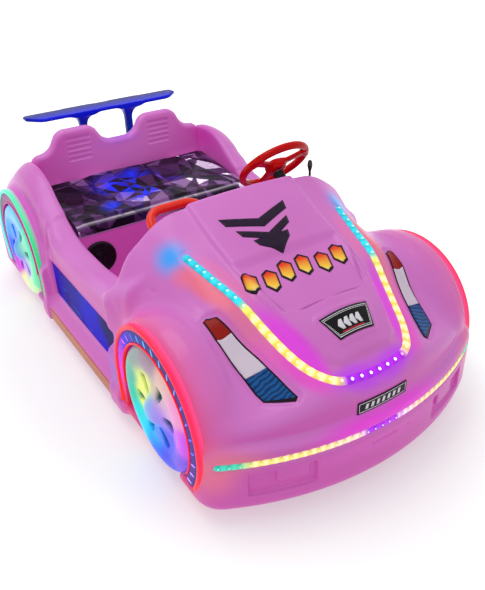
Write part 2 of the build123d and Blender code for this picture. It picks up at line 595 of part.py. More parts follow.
# section of a wheel cover: distance in from its rim, height over its back
COVER_PROFILE = [
    (9, 0), (0, 8), (0, 18), (6, 24), (18, COVER_THICK + 3), (40, COVER_THICK + 3), (66, COVER_THICK - 4),
    (80, COVER_THICK - 10),
]


def wheel_cover(axle_x, side):
    """Lit wheel cover: rounded rim, dished face with windows and a domed hub."""
    boss = COVER_RIM_Y - COVER_THICK - ARCH_FLOOR_Y
    profile = [(0, -boss), (COVER_BOSS_R, -boss), (COVER_BOSS_R, 0)]
    profile += [(COVER_R - inset, rise) for inset, rise in COVER_PROFILE]
    profile += [(DOME_EDGE, COVER_THICK - 6), (DOME_EDGE * 0.72, COVER_THICK + COVER_DOME * 0.6)]
    profile += [(DOME_EDGE * 0.36, COVER_THICK + COVER_DOME * 0.94), (0, COVER_THICK + COVER_DOME)]
    disc = revolve(Plane.XZ * make_face(Polyline(*profile, close=True)), Axis.Z)
    window = extrude(SlotOverall(WINDOW_LONG, WINDOW_WIDE), COVER_THICK * 2, both=True)
    for n in range(WINDOWS):
        disc = disc - Rot(0, 0, WINDOW_TURN + n * 360 / WINDOWS) * Pos(WINDOW_AT, 0, 0) * window
    stand = Plane(
        origin=(axle_x, side * (COVER_RIM_Y - COVER_THICK), ARCH_Z),
        x_dir=(side, 0, 0),
        z_dir=(0, side, 0),
    )
    return stand * disc


# ---- Chassis and running gear -----------------------------------------------------------------
RAIL_END = 5.0             # the rails end this far inside the belly
CROSS_END = 48.0           # from the belly's ends to the outer crossmembers
rail = block(BELLY_REAR_X + RAIL_END, BELLY_FRONT_X - RAIL_END, RAIL_Y, RAIL_Y + RAIL, RAIL_Z, RAIL_Z + RAIL)
CROSS_X = (BELLY_REAR_X + CROSS_END, -AXLE_X / 2, AXLE_X / 2, BELLY_FRONT_X - CROSS_END)
crossmembers = Compound(children=[
    solid for x in CROSS_X
    for solid in block(x - RAIL / 2, x + RAIL / 2, -RAIL_Y, RAIL_Y, RAIL_Z, RAIL_Z + RAIL).solids()
])

BATTERY = (260.0, 300.0, 200.0)
BATTERY_BACK = 170.0       # its middle, from the seat's face
battery = Pos(SEAT_FACE_X + BATTERY_BACK, 0, FLOOR_Z + BATTERY[2] / 2) * Box(*BATTERY)

FORK_T = 6.0
FORK_HALF = 45.0           # half of its crown, along the car
CHEEK_HALF = 30.0
CHEEK_DROP = 25.0          # its cheeks reach this far below the axle
CROWN_T = 8.0
KINGPIN_R = 12.0
KINGPIN_UP = 6.0           # above the bridge
BRIDGE_HALF = 70.0
BRIDGE_T = 10.0
FORK_SIDE = DRIVE_WHEEL_W / 2 + SIDE_CLEAR
FORK_OUT = FORK_SIDE + FORK_T
FORK_TOP = WHEEL_R * 2 + SIDE_CLEAR * 2
BRIDGE_Z = FORK_TOP + CROWN_T + SIDE_CLEAR
BRIDGE_TOP = BRIDGE_Z + BRIDGE_T
BRIDGE_Y = RAIL_Y + RAIL
bridge_x = (AXLE_X - BRIDGE_HALF, AXLE_X + BRIDGE_HALF)
bridge = block(*bridge_x, -BRIDGE_Y, BRIDGE_Y, BRIDGE_Z, BRIDGE_TOP)
leg = block(*bridge_x, BRIDGE_Y - FORK_T, BRIDGE_Y, RAIL_Z + RAIL, BRIDGE_Z)
bridge = bridge + both_sides(leg) - rod_z(AXLE_X, 0, KINGPIN_R + RUN_CLEAR, 0, LENGTH)

fork = block(AXLE_X - FORK_HALF, AXLE_X + FORK_HALF, -FORK_OUT, FORK_OUT, FORK_TOP, FORK_TOP + CROWN_T)
cheek_x = (AXLE_X - CHEEK_HALF, AXLE_X + CHEEK_HALF)
cheek = block(*cheek_x, FORK_SIDE, FORK_OUT, WHEEL_R - CHEEK_DROP, FORK_TOP)
fork = fork + both_sides(cheek)
fork = fork + rod_z(AXLE_X, 0, KINGPIN_R, FORK_TOP, BRIDGE_TOP + KINGPIN_UP)
fork = fork - rod_y(AXLE_X, WHEEL_R, AXLE_R, -LENGTH, LENGTH)
fork_axle = rod_y(AXLE_X, WHEEL_R, AXLE_R, -FORK_OUT, FORK_OUT)
MOTOR = (32.0, 55.0)       # radius, length
MOTOR_UP = 8.0             # its middle, above the axle
drive_motor = rod_y(AXLE_X, WHEEL_R + MOTOR_UP, MOTOR[0], FORK_OUT, FORK_OUT + MOTOR[1])

TYRE_THICK = 24.0
TYRE_ROUND = 7.0
HUB_IN = 3.0               # the hub's faces lie this far inside the tyre's


def running_wheel(x, y, width):
    """Tyre and hub of one running wheel, as a pair of solids."""
    hub_r = WHEEL_R - TYRE_THICK
    tyre = rod_y(x, WHEEL_R, WHEEL_R, y - width / 2, y + width / 2)
    tyre = chamfer(tyre.edges().filter_by(GeomType.CIRCLE), TYRE_ROUND)
    tyre = tyre - rod_y(x, WHEEL_R, hub_r, y - width, y + width)
    hub_disc = rod_y(x, WHEEL_R, hub_r, y - width / 2 + HUB_IN, y + width / 2 - HUB_IN)
    hub_disc = hub_disc - rod_y(x, WHEEL_R, AXLE_R + RUN_CLEAR, y - width, y + width)
    return tyre, hub_disc


STUB_FLANGE_R = AXLE_R + 8
STUB_END = REAR_WHEEL_Y + REAR_WHEEL_W / 2 + SIDE_CLEAR
stub = rod_y(REAR_WHEEL_X, WHEEL_R, AXLE_R, BRIDGE_Y, STUB_END)
stub = stub + rod_y(REAR_WHEEL_X, WHEEL_R, STUB_FLANGE_R, STUB_END, STUB_END + STUB_HEAD)

# ---- Nodes ----------------------------------------------------------------------------------------
nodes = {
    "front_body": front_body,
    "nose_bumper": nose,
    "side_wall_left": side_wall,
    "side_wall_right": mirror(side_wall, Plane.XZ),
    "rear_body": rear_body,
    "tail_bumper": tail,
    "floor_pan": floor_pan,
    "seat_base": seat_base,
    "seat_back": seat_back,
    "seat_cushion": cushion,
    "wing_blade": wing_blade,
    "wing_stalks": pair(stalk),
    "column_sleeve": column_sleeve,
    "steering_wheel": steering_wheel,
    "steering_shaft": steering_shaft,
    "grab_handle": grab_handle,
    "control_lever": lever,
    "foot_pedal": pedal,
    "speakers": pair(speaker),
    "bonnet_light_strip": bonnet_strip,
    "bumper_light_strip": bumper_strip,
    "sill_light_strips": pair(sill_strip),
    "side_panels": pair(side_panel),
    "lamp_panels": pair(lamp_panel),
    "nose_badge": nose_badge,
    "number_plate": number_plate,
    "chassis_rails": pair(rail),
    "chassis_crossmembers": crossmembers,
    "battery": battery,
    "steering_bridge": bridge,
    "drive_fork": fork,
    "drive_axle": fork_axle,
    "drive_motor": drive_motor,
    "rear_stub_axles": pair(stub),
}
for name, axle_x in (("front", AXLE_X), ("rear", -AXLE_X)):
    nodes[f"arch_rings_{name}"] = pair(arch_ring(axle_x))
    nodes[f"arch_liners_{name}"] = pair(arch_liner(axle_x))
    for side_name, side in (("left", 1), ("right", -1)):
        nodes[f"wheel_cover_{name}_{side_name}"] = wheel_cover(axle_x, side)
for name, x, y, width in (
    ("drive_wheel", AXLE_X, 0, DRIVE_WHEEL_W),
    ("rear_wheel_left", REAR_WHEEL_X, REAR_WHEEL_Y, REAR_WHEEL_W),
    ("rear_wheel_right", REAR_WHEEL_X, -REAR_WHEEL_Y, REAR_WHEEL_W),
):
    nodes[f"{name}_tyre"], nodes[f"{name}_hub"] = running_wheel(x, y, width)

os.makedirs("parts", exist_ok=True)
for name, shape in nodes.items():
    export_step(shape, f"parts/{name}.step")
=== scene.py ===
"""Two-seat battery bumper car: lit moulded body, seat, wing, covers, light strips and stage."""

from math import atan2, cos, pi, radians, sin

import bmesh
import bpy
import numpy as np
from mathutils import Matrix, Vector
from mathutils.bvhtree import BVHTree
from mathutils.geometry import delaunay_2d_cdt


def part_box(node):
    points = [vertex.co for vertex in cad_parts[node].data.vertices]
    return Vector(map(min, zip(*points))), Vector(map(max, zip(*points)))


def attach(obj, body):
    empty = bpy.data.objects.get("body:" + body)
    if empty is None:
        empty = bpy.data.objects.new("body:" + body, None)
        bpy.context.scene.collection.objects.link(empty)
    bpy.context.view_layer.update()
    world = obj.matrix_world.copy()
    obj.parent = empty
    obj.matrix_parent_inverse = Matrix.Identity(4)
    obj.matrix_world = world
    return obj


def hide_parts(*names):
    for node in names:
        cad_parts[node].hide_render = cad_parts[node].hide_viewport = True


bl_info = {
    "name": "Bumper car dressing",
    "version": (1, 0, 0),
    "blender": (4, 5, 0),
    "location": "3D View > Sidebar > Bumper car",
    "description": "Dresses the bumper car's frame with its moulded body, lights and trim",
    "category": "Object",
}

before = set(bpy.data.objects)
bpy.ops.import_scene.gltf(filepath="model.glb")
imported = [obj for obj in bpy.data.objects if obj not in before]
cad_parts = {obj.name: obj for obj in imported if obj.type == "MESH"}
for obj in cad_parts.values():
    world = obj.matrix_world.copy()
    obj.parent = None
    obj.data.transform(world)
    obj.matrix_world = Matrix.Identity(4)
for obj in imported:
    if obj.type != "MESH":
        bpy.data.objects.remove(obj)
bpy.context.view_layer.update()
MM = 0.001
MERGED = 1e-5
FAR = 1e9


# ---- Tools for nodes, finishes and meshes -------------------------------------------------
def paint(code, alpha=1.0):
    """Linear colour from a six-digit screen colour."""
    parts = [int(code[n:n + 2], 16) / 255 for n in (1, 3, 5)]
    return [p / 12.92 if p <= 0.04045 else ((p + 0.055) / 1.055) ** 2.4 for p in parts] + [alpha]


def rgb(code):
    """Linear colour as an array of three."""
    return np.array(paint(code)[:3])


def node(tree, kind, inputs=None, **props):
    """Adds one node; inputs are constants or the sockets that feed them."""
    made = tree.nodes.new(kind)
    for key, value in props.items():
        setattr(made, key, value)
    for key, value in (inputs or {}).items():
        if isinstance(value, bpy.types.NodeSocket):
            tree.links.new(value, made.inputs[key])
        else:
            made.inputs[key].default_value = value
    return made


def finish(name, colour=None, roughness=0.4, spread=0.08, grain=300.0, bump=0.08, gloss=0.22, **sockets):
    """Principled finish with a fine grain in its roughness and its surface."""
    material = bpy.data.materials.new(name)
    material.use_nodes = True
    tree = material.node_tree
    shader = tree.nodes["Principled BSDF"]
    noise = node(tree, "ShaderNodeTexNoise", {"Vector": place_in(tree), "Scale": grain, "Detail": 3.0})
    noise = noise.outputs["Fac"]
    wear = node(tree, "ShaderNodeMapRange", {
        "Value": noise, "From Min": 0.3, "From Max": 0.7,
        "To Min": max(roughness - spread, 0.02), "To Max": roughness + spread,
    })
    tree.links.new(wear.outputs["Result"], shader.inputs["Roughness"])
    relief = node(tree, "ShaderNodeBump", {"Height": noise, "Strength": bump, "Distance": 0.001})
    tree.links.new(relief.outputs["Normal"], shader.inputs["Normal"])
    shader.inputs["Specular IOR Level"].default_value = gloss
    if colour is not None:
        shader.inputs["Base Color"].default_value = paint(colour)
    for key, value in sockets.items():
        shader.inputs[key.replace("_", " ")].default_value = value
    return material


def mix(tree, factor, low, high, kind="MIX"):
    """Colour mix by a factor."""
    made = node(tree, "ShaderNodeMix", data_type="RGBA", blend_type=kind)
    for socket, value in ((made.inputs[0], factor), (made.inputs[6], low), (made.inputs[7], high)):
        if isinstance(value, bpy.types.NodeSocket):
            tree.links.new(value, socket)
        else:
            socket.default_value = value
    return made.outputs[2]


def lit(material, colour, glow, shade=1.0):
    """Feeds a varying colour to a finish, part of it as its own light."""
    tree = material.node_tree
    shader = tree.nodes["Principled BSDF"]
    if shade < 1:
        grey = [shade, shade, shade, 1.0]
        tree.links.new(mix(tree, 1.0, colour, grey, "MULTIPLY"), shader.inputs["Base Color"])
    else:
        tree.links.new(colour, shader.inputs["Base Color"])
    tree.links.new(colour, shader.inputs["Emission Color"])
    shader.inputs["Emission Strength"].default_value = glow
    return material


def place_in(tree):
    """Object coordinates, in metres from the car's middle on the ground."""
    return node(tree, "ShaderNodeTexCoord").outputs["Object"]


def spread_out(tree, value, low, high):
    """Shares from 0 to 1 of a value between two levels."""
    made = node(tree, "ShaderNodeMapRange", {"Value": value, "From Min": low, "From Max": high})
    return made.outputs["Result"]


def attribute(material):
    """Colour that a mesh carries at its vertices."""
    return node(material.node_tree, "ShaderNodeAttribute", attribute_name="tint").outputs["Color"]


def glow_finish(name, glow, roughness=0.3, spread=0.05, grain=500.0, bump=0.05, gloss=0.22, shade=1.0):
    """Finish lit in the colours that its mesh carries."""
    material = finish(name, None, roughness, spread, grain, bump, gloss)
    return lit(material, attribute(material), glow, shade)


def linked(name, mesh):
    """Object of a mesh, put into the scene."""
    made = bpy.data.objects.new(name, mesh)
    bpy.context.scene.collection.objects.link(made)
    return made


def from_work(name, work):
    """Object of an edited mesh, which is freed."""
    mesh = bpy.data.meshes.new(name)
    work.to_mesh(mesh)
    work.free()
    return linked(name, mesh)


def piece(name, points, faces):
    """Smooth mesh object in the scene, from points in metres."""
    mesh = bpy.data.meshes.new(name)
    mesh.from_pydata([tuple(p) for p in points], [], [tuple(f) for f in faces])
    mesh.validate()
    mesh.update()
    made = linked(name, mesh)
    mesh.shade_smooth()
    return made


def copy_of(name, *nodes):
    """Merged copy of CAD nodes as one mesh object."""
    work = bmesh.new()
    for n in nodes:
        work.from_mesh(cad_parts[n].data)
    bmesh.ops.remove_doubles(work, verts=work.verts, dist=MERGED)
    return from_work(name, work)


def applied(made, kind, **settings):
    """Applies one modifier to the object's mesh."""
    modifier = made.modifiers.new(kind, kind)
    for key, value in settings.items():
        setattr(modifier, key, value)
    graph = bpy.context.evaluated_depsgraph_get()
    mesh = bpy.data.meshes.new_from_object(made.evaluated_get(graph))
    made.modifiers.clear()
    old = made.data
    mesh.name = old.name
    made.data = mesh
    bpy.data.meshes.remove(old)
    return made


def points_of(mesh):
    """Vertices of a mesh as an array."""
    co = np.empty(len(mesh.vertices) * 3)
    mesh.vertices.foreach_get("co", co)
    return co.reshape(-1, 3)


def set_points(mesh, points):
    """Writes an array back to a mesh's vertices."""
    mesh.vertices.foreach_set("co", np.asarray(points, float).ravel())
    mesh.update()


# ---- Forms of the body, in millimetres -------------------------------------------------------
NOSE_X, TAIL_X, HALF = 1000.0, -1000.0, 500.0
NOSE_SAG, TAIL_SAG = 140.0, 90.0
STEP = 22.0
CREASE = 265.0
# how far the upper forms reach below the crease
OVERLAP = 12.0
BODY_LOW = 45.0
AXLES = (600.0, -600.0)
ARCH_Z, ARCH_R, ARCH_LOW = 230.0, 244.0, 95.0
WELL_R, WELL_Y = 194.0, 432.0
# cockpit: half width, floor, rear and front end, and where the feet go under the cowl
COCKPIT, FLOOR_Z, SEAT_BACK_X, COWL_X = 372.0, 100.0, -660.0, 288.0
FOOT_FROM, FOOT_TO, FOOT_HIGH = 200.0, 420.0, 480.0
# closed ends of the body, seen from the side: rear end's front and front end's back
REAR_END, FRONT_END = -320.0, 290.0
WALL_REACH = 366.0
# recess for the side panel: middle x and z, half length and height, depth
PANEL_X, PANEL_Z, PANEL_LONG, PANEL_HIGH, PANEL_Y = -4.0, 232.0, 294.0, 74.0, 458.0
# hollows under the body: from x, to x, height
BELLY_HALF = 262.0
BELLY = ((-930, 900, 100), (450, 900, 230), (-930, -690, 230))

# x, crown z, ridge y, ridge z, flank y, flank z, side y, side z
FRONT = np.array([
    (240, 690, 236, 683, 376, 606, 462, 392), (300, 668, 240, 660, 374, 588, 460, 385),
    (434, 606, 280, 583, 358, 512, 450, 390), (534, 562, 262, 553, 342, 500, 448, 395),
    (672, 514, 238, 509, 324, 471, 446, 385), (735, 494, 216, 468, 310, 420, 446, 360),
    (800, 472, 195, 430, 300, 384, 444, 326), (880, 418, 166, 392, 280, 346, 440, 296),
    (950, 364, 140, 362, 240, 334, 430, 280), (1010, 318, 120, 316, 230, 304, 420, 272),
], float)
REAR = np.array([
    (-1010, 385, 300, 380, 380, 344, 440, 296), (-900, 462, 330, 456, 406, 418, 462, 345),
    (-760, 524, 358, 518, 426, 482, 470, 398), (-600, 584, 388, 579, 440, 553, 470, 484),
    (-430, 552, 388, 547, 440, 524, 466, 450), (-330, 472, 390, 468, 440, 446, 466, 394),
    (-270, 438, 390, 434, 440, 412, 466, 360),
], float)
# section over a fender's crown: y, depth under the crown
FENDER = np.array([
    (320, 92), (336, 46), (366, 16), (402, 2), (430, 0), (462, 6), (484, 19), (500, 45),
], float)
FENDER_R = 268.0
# rim of the side walls: x, z
RIM = np.array([(-420, 505), (-330, 468), (-210, 414), (-60, 401), (130, 411), (300, 452), (380, 500)], float)
# outer face of the side walls: z, y
WALL = np.array([(40, 500), (112, 500), (150, 466), (306, 466), (420, 470), (520, 470)], float)

PANEL_LINE = [(250, 196), (665, 186), (800, 148), (880, 118), (906, 84)]
DISH_LINE = [(548, 176), (728, 150), (750, 90)]
BONNET_LINE = [(438, 282), (665, 236), (795, 200), (872, 173), (936, 124)]
LAMP_LINE = [(645, 305), (709, 284), (770, 261), (835, 242), (900, 226), (906, 236), (858, 304), (832, 312),
             (781, 319), (733, 329), (690, 340), (634, 343), (629, 330)]
BADGE_LINE = [(800, 83), (864, 59)]
BUMPER_STRIP_Y, BUMPER_STRIP_Z = 470.0, 218.0


def bulge(a, b, r):
    """Larger of two fields with a rounded change between them."""
    near = np.maximum(r - np.abs(a - b), 0)
    return np.maximum(a, b) + near * near / (4 * r)


def melt(a, b, r):
    """Smaller of two fields with a rounded change between them."""
    return -bulge(-a, -b, r)


def along(table, x):
    """Smooth run of each column of a table over its first column."""
    knots, values = table[:, 0], table[:, 1:]
    slope = np.gradient(values, knots, axis=0)
    x = np.clip(x, knots[0], knots[-1])
    n = np.clip(np.searchsorted(knots, x) - 1, 0, len(knots) - 2)
    width = (knots[n + 1] - knots[n])[..., None]
    t = (x[..., None] - knots[n][..., None]) / width
    a, b, c, d = values[n], values[n + 1], slope[n] * width, slope[n + 1] * width
    return a + t * (c + t * (3 * (b - a) - 2 * c - d + t * (2 * (a - b) + c + d)))


def eased(t):
    """Smooth step from 0 to 1."""
    t = np.clip(t, 0, 1)
    return t * t * (3 - 2 * t)


def across(row, y):
    """Height of a body section at a distance from the middle."""
    crown, ridge_y, ridge_z, flank_y, flank_z, side_y, side_z = np.moveaxis(row, -1, 0)
    d0 = (crown - ridge_z) / ridge_y + 1e-3
    d1 = (ridge_z - flank_z) / (flank_y - ridge_y)
    d2 = (flank_z - side_z) / (side_y - flank_y)
    h0, h1, h2 = ridge_y, flank_y - ridge_y, side_y - flank_y
    m1 = 3 * (h0 + h1) / ((2 * h1 + h0) / d0 + (h1 + 2 * h0) / d1)
    m2 = 3 * (h1 + h2) / ((2 * h2 + h1) / d1 + (h2 + 2 * h1) / d2)
    m3 = 1.5 * d2 - 0.5 * m2
    high = 0
    for y0, z0, g0, y1, z1, g1, low, top in (
        (0.0, crown, 0.0, ridge_y, ridge_z, m1, -1, ridge_y),
        (ridge_y, ridge_z, m1, flank_y, flank_z, m2, ridge_y, flank_y),
        (flank_y, flank_z, m2, side_y, side_z, m3, flank_y, FAR),
    ):
        w = y1 - y0
        t = np.clip((y - y0) / w, 0, 1)
        c, d = -g0 * w, -g1 * w
        z = z0 + t * (c + t * (3 * (z1 - z0) - 2 * c - d + t * (2 * (z0 - z1) + c + d)))
        high = high + np.where((y > low) & (y <= top), z, 0)
    return high


def beside(start, end, x, y):
    """Distance from a straight line between two points."""
    dx, dy = end[0] - start[0], end[1] - start[1]
    t = np.clip(((x - start[0]) * dx + (y - start[1]) * dy) / (dx * dx + dy * dy), 0, 1)
    return np.hypot(x - start[0] - t * dx, y - start[1] - t * dy)


def outline(line, x, y, over_middle=True):
    """Distance from an outline seen from above, less than 0 inside it; y is not negative."""
    ring = list(line) + ([(p, -q) for p, q in reversed(line)] if over_middle else [])
    far, inside = FAR, np.zeros(np.broadcast(x, y).shape, bool)
    for (x0, y0), (x1, y1) in zip(ring, ring[1:] + ring[:1]):
        far = np.minimum(far, beside((x0, y0), (x1, y1), x, y))
        crosses = (y0 > y) != (y1 > y)
        inside ^= crosses & (x < x0 + (y - y0) * (x1 - x0) / ((y1 - y0) or 1 / FAR))
    return np.where(inside, -far, far)


def plan(x, y, inset):
    """Distance from the body's outline seen from above."""
    half = HALF - inset
    side = y - half
    for end, sag, turn in ((NOSE_X - inset, NOSE_SAG, 1), (-TAIL_X - inset, TAIL_SAG, -1)):
        radius = (half * half + sag * sag) / (2 * sag)
        side = bulge(side, np.hypot(np.maximum(turn * x - end + radius, 0), y) - radius, 44)
    return side


def bonnet_relief(x, y):
    """Raised middle, dish, lamp beds and badge frame on top of the bonnet."""
    panel = outline(PANEL_LINE, x, y)
    dish = outline(DISH_LINE, x, y)
    rise = 12 * eased(0.5 - panel / 18)
    deep = 13 * eased(0.5 - dish / (13 + 16 * eased((700 - x) / 100)))
    lamp = 7 * eased(0.5 - (outline(LAMP_LINE, x, y, False) - 9) / 9)
    badge = outline(BADGE_LINE, x, y)
    frame_rise = 4 * eased(0.5 - (badge - 12) / 10) - 3 * eased(0.5 - (badge - 3) / 5)
    strip = np.abs(strip_field(x, y))
    groove = 2.5 * eased((18 - strip) / 7)
    return rise - deep - lamp + frame_rise - groove


def strip_field(x, y):
    """Distance from the middle of the bonnet's light strip."""
    far = FAR
    line = BONNET_LINE + [(948, 70), (950, -1)]
    for start, end in zip(line, line[1:]):
        far = np.minimum(far, beside(start, end, x, y))
    return far


def top_of(table, x, y, relief=None):
    """Height of a form's top, and how steep it is, at distances from the middle."""
    at = [across(along(table, x + dx), y + dy) for dx, dy in ((0, 0), (2, 0), (0, 2))]
    lean = 1 / np.sqrt(1 + np.minimum(((at[1] - at[0]) ** 2 + (at[2] - at[0]) ** 2) / 4, 25))
    side_y = along(table, x)[..., 5]
    return at[0] + (relief(x, y) if relief else 0), lean, side_y


def meet(first, *others):
    """Largest of several fields: what lies inside all of them."""
    for other in others:
        first = np.maximum(first, other)
    return first


def box_field(x, y, z, x0, x1, y1, z0, z1):
    """Distance from a block that straddles the middle of the car."""
    return meet(x0 - x, x - x1, y - y1, z0 - z, z - z1)


def arch_field(x, z, axle, radius, low):
    """Distance from a wheel arch seen from the side: round, with a leg to the middle."""
    turn = 1 if axle > 0 else -1
    ring = np.hypot(x - axle, z - ARCH_Z) - radius
    leg = meet(turn * (axle - x) - radius, turn * (x - axle), z - ARCH_Z)
    return np.maximum(np.minimum(ring, leg), low - z)


def fender_field(x, y, z):
    """Drums over the four wheels that swell out of the body."""
    depth = np.interp(y, *FENDER.T)
    slope = np.gradient(FENDER[:, 1], FENDER[:, 0])
    lean = 1 / np.sqrt(1 + np.minimum(np.interp(y, FENDER[:, 0], slope) ** 2, 6))
    drums = FAR
    for axle in AXLES:
        drum = (np.hypot(x - axle, z - ARCH_Z) - FENDER_R + depth) * lean
        drum = bulge(np.maximum(drum, 322 - y), y - HALF, 8)
        drums = np.minimum(drums, np.maximum(drum, CREASE - OVERLAP - 3 - z))
    return drums


def front_field(x, y, z):
    """Bonnet and cowl, from the crease up."""
    top, lean, side = top_of(FRONT, x, y, bonnet_relief)
    back = 300 - 44 * eased((y - 350) / 130) - x
    cowl = bulge(bulge((z - top) * lean, y - side, 26), back, 20)
    return bulge(bulge(cowl, plan(x, y, STEP), 30), CREASE - OVERLAP - z, 4)


def rear_field(x, y, z):
    """Tail, from the crease up."""
    top, lean, side = top_of(REAR, x, y)
    rear = bulge(bulge((z - top) * lean, y - side, 26), plan(x, y, STEP), 30)
    return meet(rear, x - REAR_END, CREASE - OVERLAP - z)


def wall_field(x, y, z):
    """Side wall between the front and the rear fender."""
    rim = along(RIM, x)[..., 0]
    out = y - np.interp(z, *WALL.T) + 30 * eased((np.abs(x) - 240) / 110) * eased((z - 300) / 70)
    wall = bulge(bulge(out, z - rim, 44), 58 - z, 6)
    return bulge(wall, np.abs(x) - WALL_REACH, 24)


def well_field(x, y, z):
    """Room for the wheel arches, open outwards."""
    well = np.hypot(np.abs(x) - AXLES[0], z - ARCH_Z) - WELL_R
    for axle in AXLES:
        well = np.minimum(well, arch_field(x, z, axle, ARCH_R, ARCH_LOW))
    return np.maximum(well, WELL_Y - y)


def cockpit_field(x, y, z):
    """Room for the riders, and for their feet under the cowl."""
    cockpit = bulge(box_field(x, y, z, SEAT_BACK_X, FAR, COCKPIT, FLOOR_Z, FAR), x - COWL_X, 6)
    return np.minimum(cockpit, box_field(x, y, z, FOOT_FROM, FOOT_TO, COCKPIT, FLOOR_Z, FOOT_HIGH))


def nose_cuts(x, y, z):
    """Trim pockets, curved slot and the light strip's channel in the nose bumper."""
    behind = AXLES[0] - x
    block = np.maximum(np.abs(y - 279) - 43, 142 - z)
    trim = meet(np.abs(y - 303) - 89, np.abs(z - 144) - 40, behind, -block)
    slot = meet(np.hypot(y, z - 1140) - 975, 1160 - np.hypot(y, z - 1326), y - 142, behind)
    channel = meet(np.abs(z - BUMPER_STRIP_Z) - 11, y - BUMPER_STRIP_Y, behind)
    edge = plan(x, y, 0)
    return np.minimum(meet(np.minimum(trim, slot), -14 - edge), meet(channel, -5 - edge))


def body_field(x, y, z):
    """Less than 0 inside the moulded body; x, y and z in millimetres."""
    y = np.abs(y)
    lower = bulge(bulge(plan(x, y, 0), BODY_LOW - z, 48), z - CREASE, 26)
    lower = np.maximum(lower, np.minimum(FRONT_END - x, x - REAR_END))
    front = melt(front_field(x, y, z), fender_field(x, y, z), 34)
    solid = melt(melt(front, melt(lower, rear_field(x, y, z), 16), 14), wall_field(x, y, z), 40)
    recess = np.maximum(np.abs(x - PANEL_X) - PANEL_LONG, np.abs(z - PANEL_Z) - PANEL_HIGH)
    solid = np.maximum(solid, -bulge(recess, PANEL_Y - y, 3))
    solid = bulge(solid, -well_field(x, y, z), 12)
    solid = bulge(solid, -cockpit_field(x, y, z), 22)
    for back, front, high in BELLY:
        solid = np.maximum(solid, -box_field(x, y, z, back, front, BELLY_HALF, 0, high))
    return bulge(solid, -nose_cuts(x, y, z), 5)


def net(field, low, high, step):
    """Quads round the inside of a field, on a grid of that step."""
    axes = [np.arange(low[k], high[k] + step, step) for k in range(3)]
    value = np.concatenate([
        field(axes[0][n:n + 40, None, None], axes[1][None, :, None], axes[2][None, None, :])
        for n in range(0, len(axes[0]), 40)
    ])
    inside = value < 0
    mixed = np.zeros(tuple(n - 1 for n in inside.shape), np.int8)
    corners = [(i, j, k) for i in (0, 1) for j in (0, 1) for k in (0, 1)]
    for i, j, k in corners:
        mixed += inside[i:i + mixed.shape[0], j:j + mixed.shape[1], k:k + mixed.shape[2]]
    cells = np.argwhere((mixed > 0) & (mixed < 8))
    number = np.full(mixed.shape, -1)
    number[tuple(cells.T)] = np.arange(len(cells))
    total, many = np.zeros((len(cells), 3)), np.zeros((len(cells), 1))
    for start in corners:
        for axis in range(3):
            if start[axis]:
                continue
            end = list(start)
            end[axis] = 1
            a = value[tuple((cells + start).T)]
            b = value[tuple((cells + end).T)]
            hit = ((a < 0) != (b < 0))[:, None]
            share = (a / np.where(a == b, 1, a - b))[:, None]
            total += hit * (np.array(start) + share * (np.array(end) - start))
            many += hit
    points = (cells + total / many) * step + low
    quads = []
    for axis in range(3):
        one, two = [k for k in range(3) if k != axis]
        first = np.take(inside, range(inside.shape[axis] - 1), axis)
        second = np.take(inside, range(1, inside.shape[axis]), axis)
        at = np.argwhere(first != second)
        at = at[(at[:, one] > 0) & (at[:, two] > 0)]
        at = at[(at[:, one] < mixed.shape[one]) & (at[:, two] < mixed.shape[two])]
        ring = []
        for back_one, back_two in ((0, 0), (1, 0), (1, 1), (0, 1)):
            cell = at.copy()
            cell[:, one] -= back_one
            cell[:, two] -= back_two
            ring.append(number[tuple(cell.T)])
        ring = np.stack(ring, 1)
        outward = first[tuple(at.T)] ^ (axis == 1)
        quads.append(np.where(outward[:, None], ring, ring[:, ::-1]))
    return points, np.concatenate(quads)


def settled(field, points, rounds=3, reach=3.0):
    """Points moved onto the surface of a field."""
    for _ in range(rounds):
        x, y, z = points.T
        lean = np.stack([
            field(x + 1, y, z) - field(x - 1, y, z),
            field(x, y + 1, z) - field(x, y - 1, z),
            field(x, y, z + 1) - field(x, y, z - 1),
        ], 1) / 2
        steep = np.maximum(np.sqrt((lean ** 2).sum(1)), 0.3)
        move = np.clip(field(x, y, z) / steep, -reach, reach) / steep
        points = points - move[:, None] * lean
    return points


# ---- Colours of the lit body and its painted shade ---------------------------------------------
BODY_PINK = "#C66ABA"
# where light from inside tints the body, as painted light, and in the first row a painted shade that darkens
# the cockpit: x, y, z, reach x, y, z, colour, share; y is left and right alike
GLOWS_AND_COCKPIT_SHADE = [
    # painted shade: a darker magenta over the cockpit
    (0, 0, 250, 420, 420, 250, "#A83490", 0.6),
    (-630, 0, 570, 90, 460, 230, "#D87CCE", 0.75),
    (-640, 0, 590, 60, 190, 50, "#9C54E0", 0.55),
    (-560, 372, 540, 160, 60, 90, "#D030B0", 0.6),
    (-560, 470, 420, 260, 120, 160, "#D04AC0", 0.6),
    (0, 500, 330, 420, 90, 110, "#D858B8", 0.7),
    (300, 500, 200, 90, 60, 130, "#9A48D0", 0.8),
    (412, 314, 572, 84, 84, 84, "#28A0F8", 0.95),
    (480, 322, 540, 70, 44, 50, "#F07078", 0.45),
    (800, 250, 420, 140, 60, 80, "#E05AC8", 0.6),
    (480, 500, 400, 110, 60, 60, "#E84468", 0.35),
    (760, 500, 400, 100, 60, 60, "#E84470", 0.35),
    (880, 480, 200, 120, 120, 130, "#F07890", 0.7),
    (990, 440, 235, 170, 150, 66, "#F0885C", 0.9),
    (1000, 60, 246, 120, 260, 50, "#F038E0", 0.95),
    (1000, 0, 170, 120, 420, 50, "#E060C8", 0.5),
    (-600, 500, 420, 280, 60, 120, "#D850A0", 0.7),
    (940, 0, 370, 60, 190, 50, "#C84AE8", 0.7),
]
